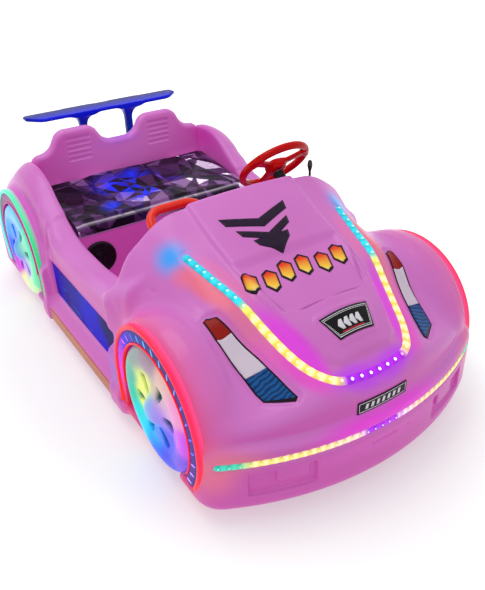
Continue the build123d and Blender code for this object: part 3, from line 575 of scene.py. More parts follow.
# glow round the wheel arches, in metres: axle, colour, reach, strength
ARCH_GLOWS = (
    (0.6, "#E860A0", 0.10, 0.4), (0.6, "#F02848", 0.024, 0.5), (-0.6, "#D860C8", 0.05, 0.5),
)
# glow along the strips and the bonnet's edges, and in the last two rows a painted shadow along the dish's
# lip, in metres: x and y of both ends, reach, colour, strength
STRIP_GLOWS_AND_LIP_SHADOW = (
    (0.48, 0.30, 0.67, 0.262, 0.036, "#E86878", 0.85), (0.48, 0.245, 0.66, 0.205, 0.03, "#E070A8", 0.6),
    (0.67, 0.262, 0.82, 0.214, 0.034, "#E07090", 0.7), (0.70, 0.20, 0.93, 0.135, 0.036, "#E030E0", 0.85),
    (0.93, 0.12, 0.955, 0.0, 0.032, "#C038F0", 0.8), (0.80, 0.215, 0.93, 0.165, 0.03, "#E838C8", 0.7),
    # painted shadow: thin dark lines along the front and the side of the dish's lip
    (0.746, 0.0, 0.742, 0.125, 0.007, "#9C4490", 0.85), (0.735, 0.135, 0.60, 0.185, 0.006, "#A84C9C", 0.6),
)


def glowing_and_shaded(name, base, glow, roughness):
    """Translucent moulded plastic tinted by the lamps inside it, with painted shade on faces turned from the
    sky, in the cockpit and along the dish's lip.
    """
    material = finish(name, None, roughness, 0.05, 900.0, 0.05, 0.3, Coat_Weight=0.12, Coat_Roughness=0.1)
    tree = material.node_tree

    def math(kind, a, b=0.0):
        return node(tree, "ShaderNodeMath", {0: a, 1: b}, operation=kind).outputs[0]

    def length(vector):
        return node(tree, "ShaderNodeVectorMath", {0: vector}, operation="LENGTH").outputs["Value"]

    def fading(value, start, end, amount, kind="SMOOTHERSTEP"):
        return node(tree, "ShaderNodeMapRange", {
            "Value": value, "From Min": start, "From Max": end, "To Min": amount, "To Max": 0.0,
        }, interpolation_type=kind).outputs["Result"]

    split = node(tree, "ShaderNodeSeparateXYZ", {"Vector": place_in(tree)})
    x_at = split.outputs["X"]
    z_at = split.outputs["Z"]
    fold = math("ABSOLUTE", split.outputs["Y"])
    place = node(tree, "ShaderNodeCombineXYZ", {"X": x_at, "Y": fold, "Z": z_at}).outputs[0]
    cloud = node(tree, "ShaderNodeTexNoise", {"Vector": place, "Scale": 3.0, "Detail": 1.0}).outputs["Fac"]
    colour = mix(tree, spread_out(tree, cloud, 0.35, 0.65), paint(base), paint("#CE74C6"))
    # painted shade: faces that turn away from the sky take a darker magenta
    facing = node(tree, "ShaderNodeNewGeometry").outputs["Normal"]
    upward = node(tree, "ShaderNodeSeparateXYZ", {"Vector": facing}).outputs["Z"]
    colour = mix(tree, fading(upward, -0.1, 0.7, 0.8, "SMOOTHSTEP"), colour, paint("#C84CAC"))
    colour = mix(tree, fading(z_at, 0.06, 0.26, 0.6, "SMOOTHSTEP"), colour, paint("#D458B4"))
    for axle, tint, reach, amount in ARCH_GLOWS:
        away = node(tree, "ShaderNodeCombineXYZ", {
            "X": math("SUBTRACT", x_at, axle), "Z": math("SUBTRACT", z_at, ARCH_Z * MM),
        }).outputs[0]
        side = fading(fold, 0.475, 0.36, 1.0)
        near = math("MULTIPLY", fading(length(away), 0.245, 0.25 + reach, amount), side)
        colour = mix(tree, near, colour, paint(tint))
    # painted glow along the strips, and the painted shadow along the dish's lip
    for x0, y0, x1, y1, reach, tint, amount in STRIP_GLOWS_AND_LIP_SHADOW:
        run_x, run_y = x1 - x0, y1 - y0
        half = (run_x ** 2 + run_y ** 2) ** 0.5 / 2
        turned = node(tree, "ShaderNodeMapping", {
            "Vector": place, "Location": ((x0 + x1) / 2, (y0 + y1) / 2, 0.0),
            "Rotation": (0.0, 0.0, atan2(run_y, run_x)), "Scale": (half + reach, reach, 10.0),
        }, vector_type="TEXTURE")
        over = fading(z_at, 0.34, 0.30, 1.0)
        near = math("MULTIPLY", fading(length(turned.outputs[0]), 0.35, 1.25, amount), over)
        colour = mix(tree, near, colour, paint(tint))
    # painted light from the lamps inside, and the painted shade in the cockpit
    for x, y, z, rx, ry, rz, tint, amount in GLOWS_AND_COCKPIT_SHADE:
        near = node(tree, "ShaderNodeMapping", {
            "Vector": place, "Location": (x * MM, y * MM, z * MM), "Scale": (rx * MM, ry * MM, rz * MM),
        }, vector_type="TEXTURE")
        colour = mix(tree, fading(length(near.outputs[0]), 0.0, 1.0, amount), colour, paint(tint))
    return lit(material, colour, glow, 0.82)


# ---- Shared makers of pieces -----------------------------------------------------------------------
def moulded(name, field, low, high, step, limit=60000):
    """Closed piece round the inside of a field given in millimetres."""
    step = step * 1.0
    points, quads = net(field, low, high, step)
    made = piece(name, settled(field, points) * MM, quads)
    if 2 * len(quads) > limit:
        applied(made, "DECIMATE", ratio=limit / (2 * len(quads)))
        made.data.shade_smooth()
    return made


def dressed(made, material, slot, *nodes, body="car_body"):
    """Gives a piece its finish and its body, and hides the CAD nodes that it stands for."""
    made.data.materials.clear()
    made.data.materials.append(material)
    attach(made, body)
    if nodes:
        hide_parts(*nodes)
    return made


def repainted(name, material):
    """Gives a CAD node's surfaces a new finish."""
    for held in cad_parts[name].material_slots:
        held.material = material


def tinted(mesh, colours):
    """Stores one linear colour for each vertex."""
    layer = mesh.attributes.new("tint", "FLOAT_COLOR", "POINT")
    rows = np.ones((len(mesh.vertices), 4))
    rows[:, :3] = np.asarray(colours)[:, :3]
    layer.data.foreach_set("color", rows.ravel())


def ramp(stops, share):
    """Linear colours at shares from 0 to 1 between colour stops."""
    places = [place for place, code in stops]
    colours = np.array([rgb(code) for place, code in stops])
    return np.stack([np.interp(share, places, colours[:, k]) for k in range(3)], -1)


def rounded(points, reach, step):
    """Even points along a line whose corners are rounded."""
    points = np.array(points, float)
    line = [points[0]]
    for p, q, r in zip(points, points[1:], points[2:]):
        a = q + (p - q) * min(reach / np.linalg.norm(p - q), 0.48)
        b = q + (r - q) * min(reach / np.linalg.norm(r - q), 0.48)
        for t in np.linspace(0, 1, 11):
            line.append((1 - t) ** 2 * a + 2 * t * (1 - t) * q + t * t * b)
    line = np.array([*line, points[-1]])
    run = np.concatenate([[0], np.cumsum(np.linalg.norm(np.diff(line, axis=0), axis=1))])
    even = np.linspace(0, run[-1], max(int(run[-1] / step), 3) + 1)
    return np.stack([np.interp(even, run, line[:, k]) for k in range(line.shape[1])], 1), run[-1]


def unit(rows):
    """Rows scaled to length 1."""
    return rows / np.maximum(np.linalg.norm(rows, axis=-1, keepdims=True), 1e-9)


def strung(count, size):
    """Faces of a tube of rings, closed at both ends."""
    faces = []
    for n in range(count - 1):
        for k in range(size):
            j = (k + 1) % size
            faces.append((n * size + k, n * size + j, (n + 1) * size + j, (n + 1) * size + k))
    faces.append(tuple(range(size)))
    faces.append(tuple((count - 1) * size + k for k in range(size)))
    return faces


def bead(name, line, lean, width, height, colours, sink=1.5, sides=10, foot=None):
    """Half-round lit tube along points in millimetres, with rounded ends and a foot of its own colour."""
    ahead = unit(np.gradient(line, axis=0))
    across_line = unit(np.cross(lean, ahead))
    turn = np.linspace(0, pi, sides)
    count = len(line)
    end = np.minimum(np.arange(count), np.arange(count)[::-1]) * np.linalg.norm(line[1] - line[0])
    taper = np.sqrt(1 - (1 - np.clip((end + 0.8) / (width / 2), 0, 1)) ** 2)[:, None, None]
    side = np.concatenate([np.cos(turn) * width / 2, [-width / 2, width / 2]])[None, :, None]
    rise = np.concatenate([np.sin(turn) * height, [-sink, -sink]])[None, :, None]
    ring = line[:, None] + across_line[:, None] * side * taper + lean[:, None] * (rise * taper)
    size = sides + 2
    made = piece(name, ring.reshape(-1, 3) * MM, strung(count, size))
    recalculated(made.data)
    tint = np.repeat(colours, size, axis=0)
    if foot:
        tint.reshape(count, size, 3)[:, -2:] = rgb(foot)
    tinted(made.data, tint)
    return made


def recalculated(mesh):
    """Turns the faces of a closed mesh outwards."""
    work = bmesh.new()
    work.from_mesh(mesh)
    bmesh.ops.recalc_face_normals(work, faces=work.faces)
    work.to_mesh(mesh)
    work.free()
    mesh.update()


def stud_tree():
    """Geometry Nodes tree that sets a small dome on every vertex of a mesh."""
    held = bpy.data.node_groups.get("studs")
    if held:
        return held
    tree = bpy.data.node_groups.new("studs", "GeometryNodeTree")
    face = tree.interface
    face.new_socket("Geometry", in_out="INPUT", socket_type="NodeSocketGeometry")
    face.new_socket("Size", in_out="INPUT", socket_type="NodeSocketVector")
    face.new_socket("Finish", in_out="INPUT", socket_type="NodeSocketMaterial")
    face.new_socket("Geometry", in_out="OUTPUT", socket_type="NodeSocketGeometry")
    given = node(tree, "NodeGroupInput").outputs
    dome = node(tree, "GeometryNodeMeshUVSphere", {"Segments": 10, "Rings": 6, "Radius": 0.5}).outputs["Mesh"]
    lean = node(tree, "GeometryNodeInputNamedAttribute", {"Name": "lean"}, data_type="FLOAT_VECTOR")
    ahead = node(tree, "GeometryNodeInputNamedAttribute", {"Name": "ahead"}, data_type="FLOAT_VECTOR")
    turn = node(tree, "FunctionNodeAxesToRotation", {
        "Primary Axis": lean.outputs["Attribute"], "Secondary Axis": ahead.outputs["Attribute"],
    }, primary_axis="Z", secondary_axis="X")
    put = node(tree, "GeometryNodeInstanceOnPoints", {
        "Points": given["Geometry"], "Instance": dome, "Rotation": turn.outputs[0], "Scale": given["Size"],
    })
    real = node(tree, "GeometryNodeRealizeInstances", {"Geometry": put.outputs["Instances"]})
    smooth = node(tree, "GeometryNodeSetShadeSmooth", {"Geometry": real.outputs["Geometry"]})
    done = node(tree, "GeometryNodeSetMaterial", {
        "Geometry": smooth.outputs["Geometry"], "Material": given["Finish"],
    })
    node(tree, "NodeGroupOutput", {"Geometry": done.outputs["Geometry"]})
    return tree


def studs(name, places, lean, ahead, size, colours, material):
    """Small domes at places in millimetres; size is along, across and high."""
    made = piece(name, np.asarray(places) * MM, [])
    mesh = made.data
    tinted(mesh, colours)
    for key, rows in (("lean", lean), ("ahead", ahead)):
        layer = mesh.attributes.new(key, "FLOAT_VECTOR", "POINT")
        layer.data.foreach_set("vector", np.broadcast_to(rows, (len(places), 3)).astype(float).ravel())
    modifier = made.modifiers.new("studs", "NODES")
    modifier.node_group = stud_tree()
    sockets = {item.name: item.identifier for item in modifier.node_group.interface.items_tree
               if item.in_out == "INPUT"}
    modifier[sockets["Size"]] = [v * MM for v in size]
    modifier[sockets["Finish"]] = material
    graph = bpy.context.evaluated_depsgraph_get()
    mesh = bpy.data.meshes.new_from_object(made.evaluated_get(graph))
    made.modifiers.clear()
    made.data = mesh
    for key in ("lean", "ahead"):
        if key in mesh.attributes:
            mesh.attributes.remove(mesh.attributes[key])
    return made


def skin(*names):
    """Search tree over the finished surfaces of some pieces."""
    graph = bpy.context.evaluated_depsgraph_get()
    points, faces = [], []
    for name in names:
        mesh = bpy.data.objects[name].evaluated_get(graph).data
        start = len(points)
        points += [v.co.copy() for v in mesh.vertices]
        faces += [tuple(start + k for k in f.vertices) for f in mesh.polygons]
    return BVHTree.FromPolygons(points, faces)


def laid(surface, rows, axis, lift=0.0):
    """Points of a drawing laid on a surface along an axis, and the surface's directions there."""
    places, leans = [], []
    for u, v in rows:
        origin, ray = ((u, v, 1500), (0, 0, -1)) if axis == "Z" else ((1500, u, v), (-1, 0, 0))
        hit, lean, _, _ = surface.ray_cast(Vector(origin) * MM, Vector(ray))
        if hit is None:
            raise RuntimeError(f"nothing under {u}, {v}")
        places.append(np.array(hit) / MM + np.array(lean) * lift)
        leans.append(np.array(lean))
    return np.array(places), np.array(leans)


def film(name, surface, drawings, axis, lift, thick, spacing=12.0):
    """Thin flat pieces laid on a surface; drawings are outlines in millimetres with their colours."""
    work = bmesh.new()
    layer = work.verts.layers.float_color.new("tint")
    for outline_points, code in drawings:
        made = [work.verts.new((u, v, 0)) for u, v in outline_points]
        face = work.faces.new(made)
        codes = code if isinstance(code, list) else [code] * len(made)
        for vert, one in zip(made, codes):
            vert[layer] = paint(one)
        bmesh.ops.triangulate(work, faces=[face])
    for _ in range(7):
        long = [e for e in work.edges if e.calc_length() > spacing]
        if not long:
            break
        bmesh.ops.subdivide_edges(work, edges=long, cuts=1)
        bmesh.ops.triangulate(work, faces=[f for f in work.faces if len(f.verts) > 3])
    rows = [(v.co.x, v.co.y) for v in work.verts]
    low, lean = laid(surface, rows, axis, lift)
    for vert, place in zip(work.verts, low):
        vert.co = place * MM
    work.normal_update()
    facing = sum(f.normal.dot(Vector(lean[f.verts[0].index])) for f in work.faces)
    if facing < 0:
        bmesh.ops.reverse_faces(work, faces=work.faces)
    made = from_work(name, work)
    made.data.shade_smooth()
    return applied(made, "SOLIDIFY", thickness=thick * MM, offset=1.0, use_even_offset=False)


# ---- Pieces -------------------------------------------------------------------------------------
BODY_STEP = 6.5
BODY_TRIANGLES = 190000
BODY_NODES = ("front_body", "nose_bumper", "side_wall_left", "side_wall_right", "rear_body", "tail_bumper")


class CARDRESS_PG_body(bpy.types.PropertyGroup):
    """Sizes and glow of the moulded body."""
    grid: bpy.props.FloatProperty(
        name="Grid", description="Spacing of the body's mesh", default=BODY_STEP * MM, unit="LENGTH",
    )
    glow: bpy.props.FloatProperty(
        name="Glow", description="Light that the lamps inside give the plastic", default=0.3, min=0.0,
    )
    roughness: bpy.props.FloatProperty(
        name="Roughness", description="Roughness of the plastic", default=0.36, subtype="FACTOR",
    )


class CARDRESS_OT_body(bpy.types.Operator):
    """Moulded body with bumpers, bonnet, fenders, side walls and tail"""
    bl_idname = "cardress.body"
    bl_label = "Body shell"

    def execute(self, context):
        sizes = context.scene.cardress_body
        step = sizes.grid / MM
        shell = moulded("body_shell", body_field, (-1008, -511, 36), (1008, 511, 700), step, BODY_TRIANGLES)
        plastic = glowing_and_shaded("lit_body_plastic", BODY_PINK, sizes.glow, sizes.roughness)
        dressed(shell, plastic, "body_plastic", *BODY_NODES)
        for name in ("floor_pan", "seat_base"):
            repainted(name, plastic)
        return {"FINISHED"}


BACK_FACE = -615.0
# upper outline of the seat back from the middle outwards: z, y
BACK_LINE = [(598, 2), (600, 62), (672, 106), (672, 260), (596, 302), (582, 384), (104, 384)]


def seat_back_field(x, y, z):
    """Less than 0 inside the seat back; x, y and z in millimetres."""
    turn = np.arange(8) * pi / 4
    side = sum(outline(BACK_LINE, z + 24 * sin(a), np.abs(y + 24 * cos(a))) for a in turn) / 8
    y = np.abs(y)
    pad = np.maximum(np.abs(y - 177.5) - 47.5, np.abs(z - 592.5) - 52.5)
    slat = np.mod(z - 540, 21.0) / 21.0
    relief = eased(0.5 - pad / 6) * (7 * slat ** 2 - 4)
    front = x - BACK_FACE - relief
    return bulge(bulge(bulge(front, -660 - x, 8), side + 3, 22), np.maximum(y - 372, 127 - z), 4)


def blended(points, places, reach):
    """Colours at points between coloured places."""
    total, colours = 0, 0
    for x, z, code in places:
        near = np.exp(-((points[:, 0] - x) ** 2 + (points[:, 1] - z) ** 2) / (2 * reach * reach)) + 1e-9
        total = total + near
        colours = colours + near[:, None] * rgb(code)
    return colours / total[:, None]


WING_X, WING_Z, WING_HALF = -744.0, 700.0, 49.0


def wing_field(x, y, z):
    """Less than 0 inside the wing and its two stalks; x, y and z in millimetres."""
    y = np.abs(y)
    tilt = radians(1.0)
    u = (x - WING_X) * cos(tilt) - (z - WING_Z) * sin(tilt)
    w = (x - WING_X) * sin(tilt) + (z - WING_Z) * cos(tilt)
    edge = np.abs(u) - WING_HALF
    arched = w + 1.5 * (u / WING_HALF) ** 2
    tip = np.maximum(y - 337, (y - 289) / 1.4 + u / 1.4 - 33.6)
    flat = bulge(bulge(edge, tip, 18), np.abs(arched) - 7, 9)
    stalk = bulge(np.abs(x - WING_X) - 18, np.abs(y - 103) - 15, 12)
    stalk = meet(stalk, z - 690, 500 - z)
    return meet(melt(flat, stalk, 64), edge, arched - 7)


class CARDRESS_OT_seat(bpy.types.Operator):
    """Seat back with two ribbed headrests"""
    bl_idname = "cardress.seat"
    bl_label = "Seat back"

    def execute(self, context):
        back = moulded("seat_back_moulding", seat_back_field, (-664, -380, 120), (-606, 380, 676), 4.0, 70000)
        dressed(back, bpy.data.materials["lit_body_plastic"], "body_plastic", "seat_back")
        return {"FINISHED"}


def wing_plastic():
    """Blue plastic that is brighter in front and higher up, with painted shade towards its rear and painted
    light towards its front edge.
    """
    blue = finish("blue_wing_plastic", None, 0.3, 0.08, 700.0, 0.1, 0.12)
    tree = blue.node_tree
    split = node(tree, "ShaderNodeSeparateXYZ", {"Vector": place_in(tree)}).outputs
    # painted shade and light: the blade darkens towards its rear and brightens towards its front edge
    front = spread_out(tree, split["X"], -0.77, -0.70)
    low = spread_out(tree, split["Z"], 0.55, 0.70)
    colour = mix(tree, low, paint("#0A48A8"), paint("#0412D0"))
    return lit(blue, mix(tree, front, paint("#060C70"), colour), 0.16)


class CARDRESS_OT_wing(bpy.types.Operator):
    """Rear wing on two flared stalks"""
    bl_idname = "cardress.wing"
    bl_label = "Rear wing"

    def execute(self, context):
        blue = wing_plastic()
        wing = moulded("wing_moulding", wing_field, (-804, -346, 496), (-686, 346, 728), 3.6, 60000)
        dressed(wing, blue, "blue_plastic", "wing_blade", "wing_stalks")
        rows = [(x, y) for x in np.arange(-786, -724, 9.0) for y in np.arange(-300, 301, 9.0)]
        places, lean = laid(skin("wing_moulding"), rows, "Z", -0.6)
        tints = np.tile(rgb("#1828D0"), (len(rows), 1))
        grip = studs("wing_grip_dots", places, lean, (1, 0, 0), (3.4, 3.4, 2.4), tints, blue)
        dressed(grip, blue, "blue_plastic")
        return {"FINISHED"}


def facets(seed, reach, pitch, rise, stretch, turn):
    """Creased sheet of random flat facets over an area, as a search tree of u, v and height."""
    rng = np.random.default_rng(seed)
    count = int(4 * reach * reach / (pitch * pitch * stretch))
    spots = rng.uniform(-reach, reach, (count, 2)) * [1, 1 / stretch]
    corners = reach * 2 * np.array([(-1, -1), (1, -1), (1, 1), (-1, 1)])
    u, v = np.concatenate([spots, corners]).T * stretch
    spots = np.stack([u * cos(turn) - v * sin(turn), u * sin(turn) + v * cos(turn)], 1)
    flat, _, faces, _, _, _ = delaunay_2d_cdt([Vector(p) for p in spots], [], [], 0, 1e-4)
    high = rng.uniform(0, rise, len(flat))
    return BVHTree.FromPolygons([(p.x, p.y, h) for p, h in zip(flat, high)], faces)


def crease(tree, rows):
    """Heights, facet directions and facet numbers of a creased sheet at rows of u and v."""
    found = [tree.ray_cast(Vector((u, v, 500)), Vector((0, 0, -1))) for u, v in rows]
    high = np.array([f[0].z if f[0] is not None else 0 for f in found])
    lean = np.array([tuple(f[1]) if f[1] is not None else (0, 0, 1) for f in found])
    which = np.array([f[2] if f[2] is not None else 0 for f in found])
    return high, lean * np.where(lean[:, 2:] < 0, -1, 1), which


CUSHION_FRONT_X = -235.0
# where blue light falls on the film: x, y, reach, strength
BLUE_SPOTS = (
    (-447, -102, 50, 1.0), (-340, -40, 44, 1.0), (-505, 1, 30, 0.8), (-420, 110, 26, 0.8),
    (-300, -190, 24, 0.7),
)


def puffed(pad):
    """Inflates the cushion's cover a little with a cloth simulation."""
    start = points_of(pad.data)
    modifier = pad.modifiers.new("cloth", "CLOTH")
    modifier.settings.use_pressure = True
    modifier.settings.uniform_pressure_force = 4.0
    modifier.settings.effector_weights.gravity = 0.0
    modifier.point_cache.frame_end = 20
    for n in range(1, 21):
        bpy.context.scene.frame_set(n)
    graph = bpy.context.evaluated_depsgraph_get()
    moved = points_of(bpy.data.meshes.new_from_object(pad.evaluated_get(graph)))
    pad.modifiers.clear()
    bpy.context.scene.frame_set(1)
    shift = np.clip(moved - start, -0.001, 0.001)
    shift[:, 2] = np.clip((moved - start)[:, 2], -0.001, 0.012)
    set_points(pad.data, start + shift)


def cushion_vinyl():
    """Dark vinyl with soft clouds of a lighter violet."""
    vinyl = finish("dark_violet_vinyl", None, 0.34, 0.1, 500.0, 0.25, Coat_Weight=0.3)
    tree = vinyl.node_tree
    cloud = node(tree, "ShaderNodeTexNoise", {"Vector": place_in(tree), "Scale": 6.0, "Detail": 2.0})
    colour = mix(tree, cloud.outputs["Fac"], paint("#241030"), paint("#4A2A5A"))
    tree.links.new(colour, tree.nodes["Principled BSDF"].inputs["Base Color"])
    return vinyl


class CARDRESS_OT_cushion(bpy.types.Operator):
    """Padded vinyl bench cushion with its piping"""
    bl_idname = "cardress.cushion"
    bl_label = "Seat cushion"

    def execute(self, context):
        vinyl = cushion_vinyl()
        pad = copy_of("cushion_cover", "seat_cushion")
        applied(pad, "REMESH", mode="VOXEL", voxel_size=6.5 * MM)
        low, high = np.array(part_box("seat_cushion"))
        middle = (low + high) / 2
        size = (high - low) / 2
        points = middle + (points_of(pad.data) - middle) * (size - [0.001, 0.002, 0.004]) / size
        set_points(pad.data, points - [0, 0, 0.003])
        puffed(pad)
        applied(pad, "SUBSURF", levels=1)
        pad.data.shade_smooth()
        dressed(pad, vinyl, "seat_vinyl", "seat_cushion")
        welt = finish("piping_vinyl", "#B8A0C4", 0.3, 0.06, 900.0, 0.2)
        line = np.array([(CUSHION_FRONT_X + 1.5, y, 389.5) for y in np.linspace(-360, 360, 120)])
        pipe = tube("cushion_piping", line, np.full(len(line), 2.6), 8)
        dressed(pipe, welt, "seat_vinyl")
        return {"FINISHED"}


FILM_BEND_X = -250.0
FILM_SIDE = 364.0
# levels of the film's colour, from near-black up to painted white highlights
FILM_STOPS = [
    (0.0, "#06030A"), (0.38, "#0C0612"), (0.5, "#22122C"), (0.62, "#3C2048"), (0.74, "#5C3868"),
    (0.83, "#8C6498"), (0.88, "#E8D8F0"), (1.0, "#FFFFFF"),
]


def film_profile(step):
    """Film's run over the cushion and down its front (x, z, outward x and z), and its flat rows."""
    top = skin("cushion_cover")
    profile = []
    for x in np.arange(-602.0, FILM_BEND_X - 2, step):
        spot = top.ray_cast(Vector((x * MM, 0, 1)), Vector((0, 0, -1)))[0]
        profile.append((x, spot.z / MM, 0.0, 1.0))
    flat = len(profile)
    last = profile[-1][1] - 2
    for a in np.linspace(0, pi / 2, 6):
        profile.append((FILM_BEND_X + 17 * sin(a), last - 16 + 16 * cos(a), sin(a), cos(a)))
    profile += [(CUSHION_FRONT_X + 2.4, z, 1.0, 0.0) for z in np.arange(404.0, 393.0, -step)]
    return np.array(profile), flat


def film_tint(points, slope, tilt, patch, scrap, bend, start):
    """Film's colours: a random level for each facet with painted light on facets that face one fixed
    direction, painted glints, painted blue light, and a painted highlight along the bend and at the start.
    """
    # painted light: facets that face this fixed direction come out lighter
    glance = slope @ unit(np.array([0.62, -0.5, 0.6]))
    chance = np.random.default_rng(21).uniform(0, 1, 60000)
    level = 0.34 * chance[patch] + 0.40 * chance[scrap + 7000] + 0.26 * np.clip(glance, 0, 1)
    away = 0.55 * chance[scrap + 20000] + 0.45 * chance[patch + 30000]
    tint = ramp(FILM_STOPS, level)
    blue, pale = rgb("#0430F8"), rgb("#F4E8FA")
    for x, y, reach, amount in BLUE_SPOTS:
        off = (points[:, 0] - x) ** 2 + (points[:, 1] - y) ** 2
        near = amount * np.exp(-off / (2 * reach ** 2)) * eased((away - 0.38) / 0.1)
        tint = tint + near[:, None] * (blue - tint)
    # painted highlight along the front bend and, on facets that face the light, at the rear start
    bright = np.exp(-((bend - 6) / 4) ** 2) * np.clip(0.35 + 3.2 * tilt, 0, 1)
    bright = bright + np.exp(-((start - 8) / 7) ** 2) * (glance > 0.6)
    return tint + np.clip(bright, 0, 0.9)[:, None] * (pale - tint)


class CARDRESS_OT_film(bpy.types.Operator):
    """Crumpled protective film over the cushion"""
    bl_idname = "cardress.film"
    bl_label = "Cushion film"

    def execute(self, context):
        step = 3.6
        profile, flat = film_profile(step)
        y = np.arange(-FILM_SIDE, FILM_SIDE + 0.1, step)
        run = np.concatenate([[0], np.cumsum(np.hypot(*np.diff(profile[:, :2], axis=0).T))])
        end = run[-1] / 2
        u, v = np.meshgrid(run - end, y, indexing="ij")
        rows = np.stack([u.ravel(), v.ravel()], 1)
        broad, lean, patch = crease(facets(11, 420, 60, 16.0, 2.4, 0.62), rows)
        fine, small, scrap = crease(facets(5, 420, 30, 4.0, 1.8, 2.1), rows)
        tiny, least, _ = crease(facets(8, 420, 12, 1.6, 1.2, 0.3), rows)
        edge = np.minimum(end - np.abs(rows[:, 0]), FILM_SIDE - np.abs(rows[:, 1]))
        calm = np.clip(edge / 30, 0.15, 1) * np.where(rows[:, 0] > end - 45, 0.35, 1)
        rise = 1.2 + calm * (broad * 0.9 + fine + tiny)
        place = np.repeat(profile, len(y), axis=0)
        points = np.stack([place[:, 0] + place[:, 2] * rise, rows[:, 1], place[:, 1] + place[:, 3] * rise], 1)
        many = len(y)
        faces = [(n * many + k, (n + 1) * many + k, (n + 1) * many + k + 1, n * many + k + 1)
                 for n in range(len(profile) - 1) for k in range(many - 1)]
        sheet = piece("cushion_film", points * MM, faces)
        recalculated(sheet.data)
        slope = unit(lean * [10, 10, 1] + small * [5, 5, 0.6] + least * [1.0, 1.0, 0.3])
        bend = rows[:, 0] - (run[flat] - end)
        start = rows[:, 0] + end
        tinted(sheet.data, film_tint(points, slope, small[:, 0], patch, scrap, bend, start))
        # the film's painted colours, its painted light and highlights among them, also glow
        clear = glow_finish("crumpled_clear_film", 0.35, 0.2, 0.06, 200.0, gloss=0.1)
        applied(sheet, "SOLIDIFY", thickness=0.4 * MM, offset=1.0)
        sheet.data.shade_flat()
        dressed(sheet, clear, "seat_vinyl")
        return {"FINISHED"}


def tube(name, line, radii, sides=20):
    """Closed round tube along points in millimetres."""
    ahead = unit(np.gradient(line, axis=0))
    up = np.array([0.0, 0.0, 1.0]) if abs(ahead[:, 2]).max() < 0.95 else np.array([0.31, 0.95, 0.0])
    side = unit(np.cross(up, ahead))
    top = np.cross(ahead, side)
    turn = np.linspace(0, 2 * pi, sides, endpoint=False)
    ring = (np.cos(turn)[None, :, None] * side[:, None] + np.sin(turn)[None, :, None] * top[:, None])
    points = line[:, None] + ring * np.asarray(radii)[:, None, None]
    made = piece(name, points.reshape(-1, 3) * MM, strung(len(line), sides))
    recalculated(made.data)
    return made


def turned_about(name, profile, place, axes, sides=72):
    """Closed round piece from radii and heights about an axis."""
    one, two, up = np.array(axes, float)
    points, rings = [], []
    for r, h in profile:
        turns = [0.0] if r < 0.01 else np.linspace(0, 2 * pi, sides, endpoint=False)
        rings.append(list(range(len(points), len(points) + len(turns))))
        points += [np.array(place) + up * h + r * (one * cos(a) + two * sin(a)) for a in turns]
    faces = []
    for a, b in zip(rings, rings[1:]):
        for k in range(sides):
            j = (k + 1) % sides
            if len(a) == 1:
                faces.append((a[0], b[k], b[j]))
            elif len(b) == 1:
                faces.append((a[k], b[0], a[j]))
            else:
                faces.append((a[k], b[k], b[j], a[j]))
    made = piece(name, np.array(points) * MM, faces)
    recalculated(made.data)
    return made


WHEEL_MIDDLE = (205.0, 200.0, 672.0)
COLUMN_TILT = 47.0
RIM_RADIUS = 116.0


def wheel_field(x, y, z):
    """Less than 0 inside the steering wheel, about its own axis."""
    r = np.hypot(x, y)
    rim = np.hypot(r - RIM_RADIUS, z * 0.94) - 12
    boss = bulge(r - 35, np.maximum(z - 10 + r * r / 220, -26 - z), 9)
    ring = np.hypot(r - 24, z - 8.5) - 1.8
    arms = 1e9
    for angle in (90, 210, 330):
        c, d = cos(radians(angle)), sin(radians(angle))
        u, v = x * c + y * d, y * c - x * d
        wide = 12.5 + 7 * np.clip((u - 62) / 50, -1, 1) ** 2
        arm = bulge(np.abs(v) - wide, np.abs(z + 4) - 6.5, 5)
        arms = np.minimum(arms, np.maximum(arm, np.maximum(8 - u, u - RIM_RADIUS)))
    return melt(melt(melt(rim, arms, 12), boss, 14), ring, 2)


def lever_field(x, y, z):
    """Less than 0 inside the control lever."""
    round_r = np.hypot(x - 284, y - 290)
    stalk = np.maximum(round_r - 4.2, np.abs(z - 640) - 46)
    knob = np.sqrt((round_r / 8.6) ** 2 + ((z - 674) / 17.5) ** 2) * 8.6 - 8.6
    foot = bulge(bulge(np.abs(x - 287) - 13, np.abs(y - 290) - 13.5, 6), np.abs(z - 596) - 13.5, 6)
    return melt(melt(stalk, knob, 5), foot, 8)


class CARDRESS_OT_controls(bpy.types.Operator):
    """Steering wheel, grab handle and control lever"""
    bl_idname = "cardress.controls"
    bl_label = "Hand controls"

    def execute(self, context):
        red = finish("glossy_red_plastic", "#C80002", 0.2, 0.05, 900.0, 0.05, 0.12)
        wheel = moulded("steering_wheel_moulding", wheel_field, (-132, -132, -28), (132, 132, 18), 3.0, 50000)
        tilt = radians(COLUMN_TILT)
        frame_rows = np.array([(0, 1, 0), (-cos(tilt), 0, -sin(tilt)), (-sin(tilt), 0, cos(tilt))])
        set_points(wheel.data, points_of(wheel.data) @ frame_rows + np.array(WHEEL_MIDDLE) * MM)
        dressed(wheel, red, "red_plastic", "steering_wheel", body="steering")
        orange = finish("orange_red_plastic", "#F02A10", 0.2, 0.06, 900.0, 0.05, 0.3)
        path, run = rounded([(308, -302, 587), (236, -290, 641), (236, -122, 641), (308, -110, 587)], 50, 4.0)
        share = np.linspace(0, run, len(path))
        flare = 14 + 7 * eased(1 - np.minimum(share, run - share) / 34)
        grip = tube("grab_handle_moulding", path, flare, 24)
        dressed(grip, orange, "red_plastic", "grab_handle")
        brown = finish("dark_brown_lever", "#1C0E0C", 0.3, 0.08, 700.0, 0.1, Coat_Weight=0.5)
        lever = moulded("control_lever_moulding", lever_field, (268, 270, 578), (304, 310, 696), 2.0, 16000)
        dressed(lever, brown, "black_plastic", "control_lever")
        return {"FINISHED"}


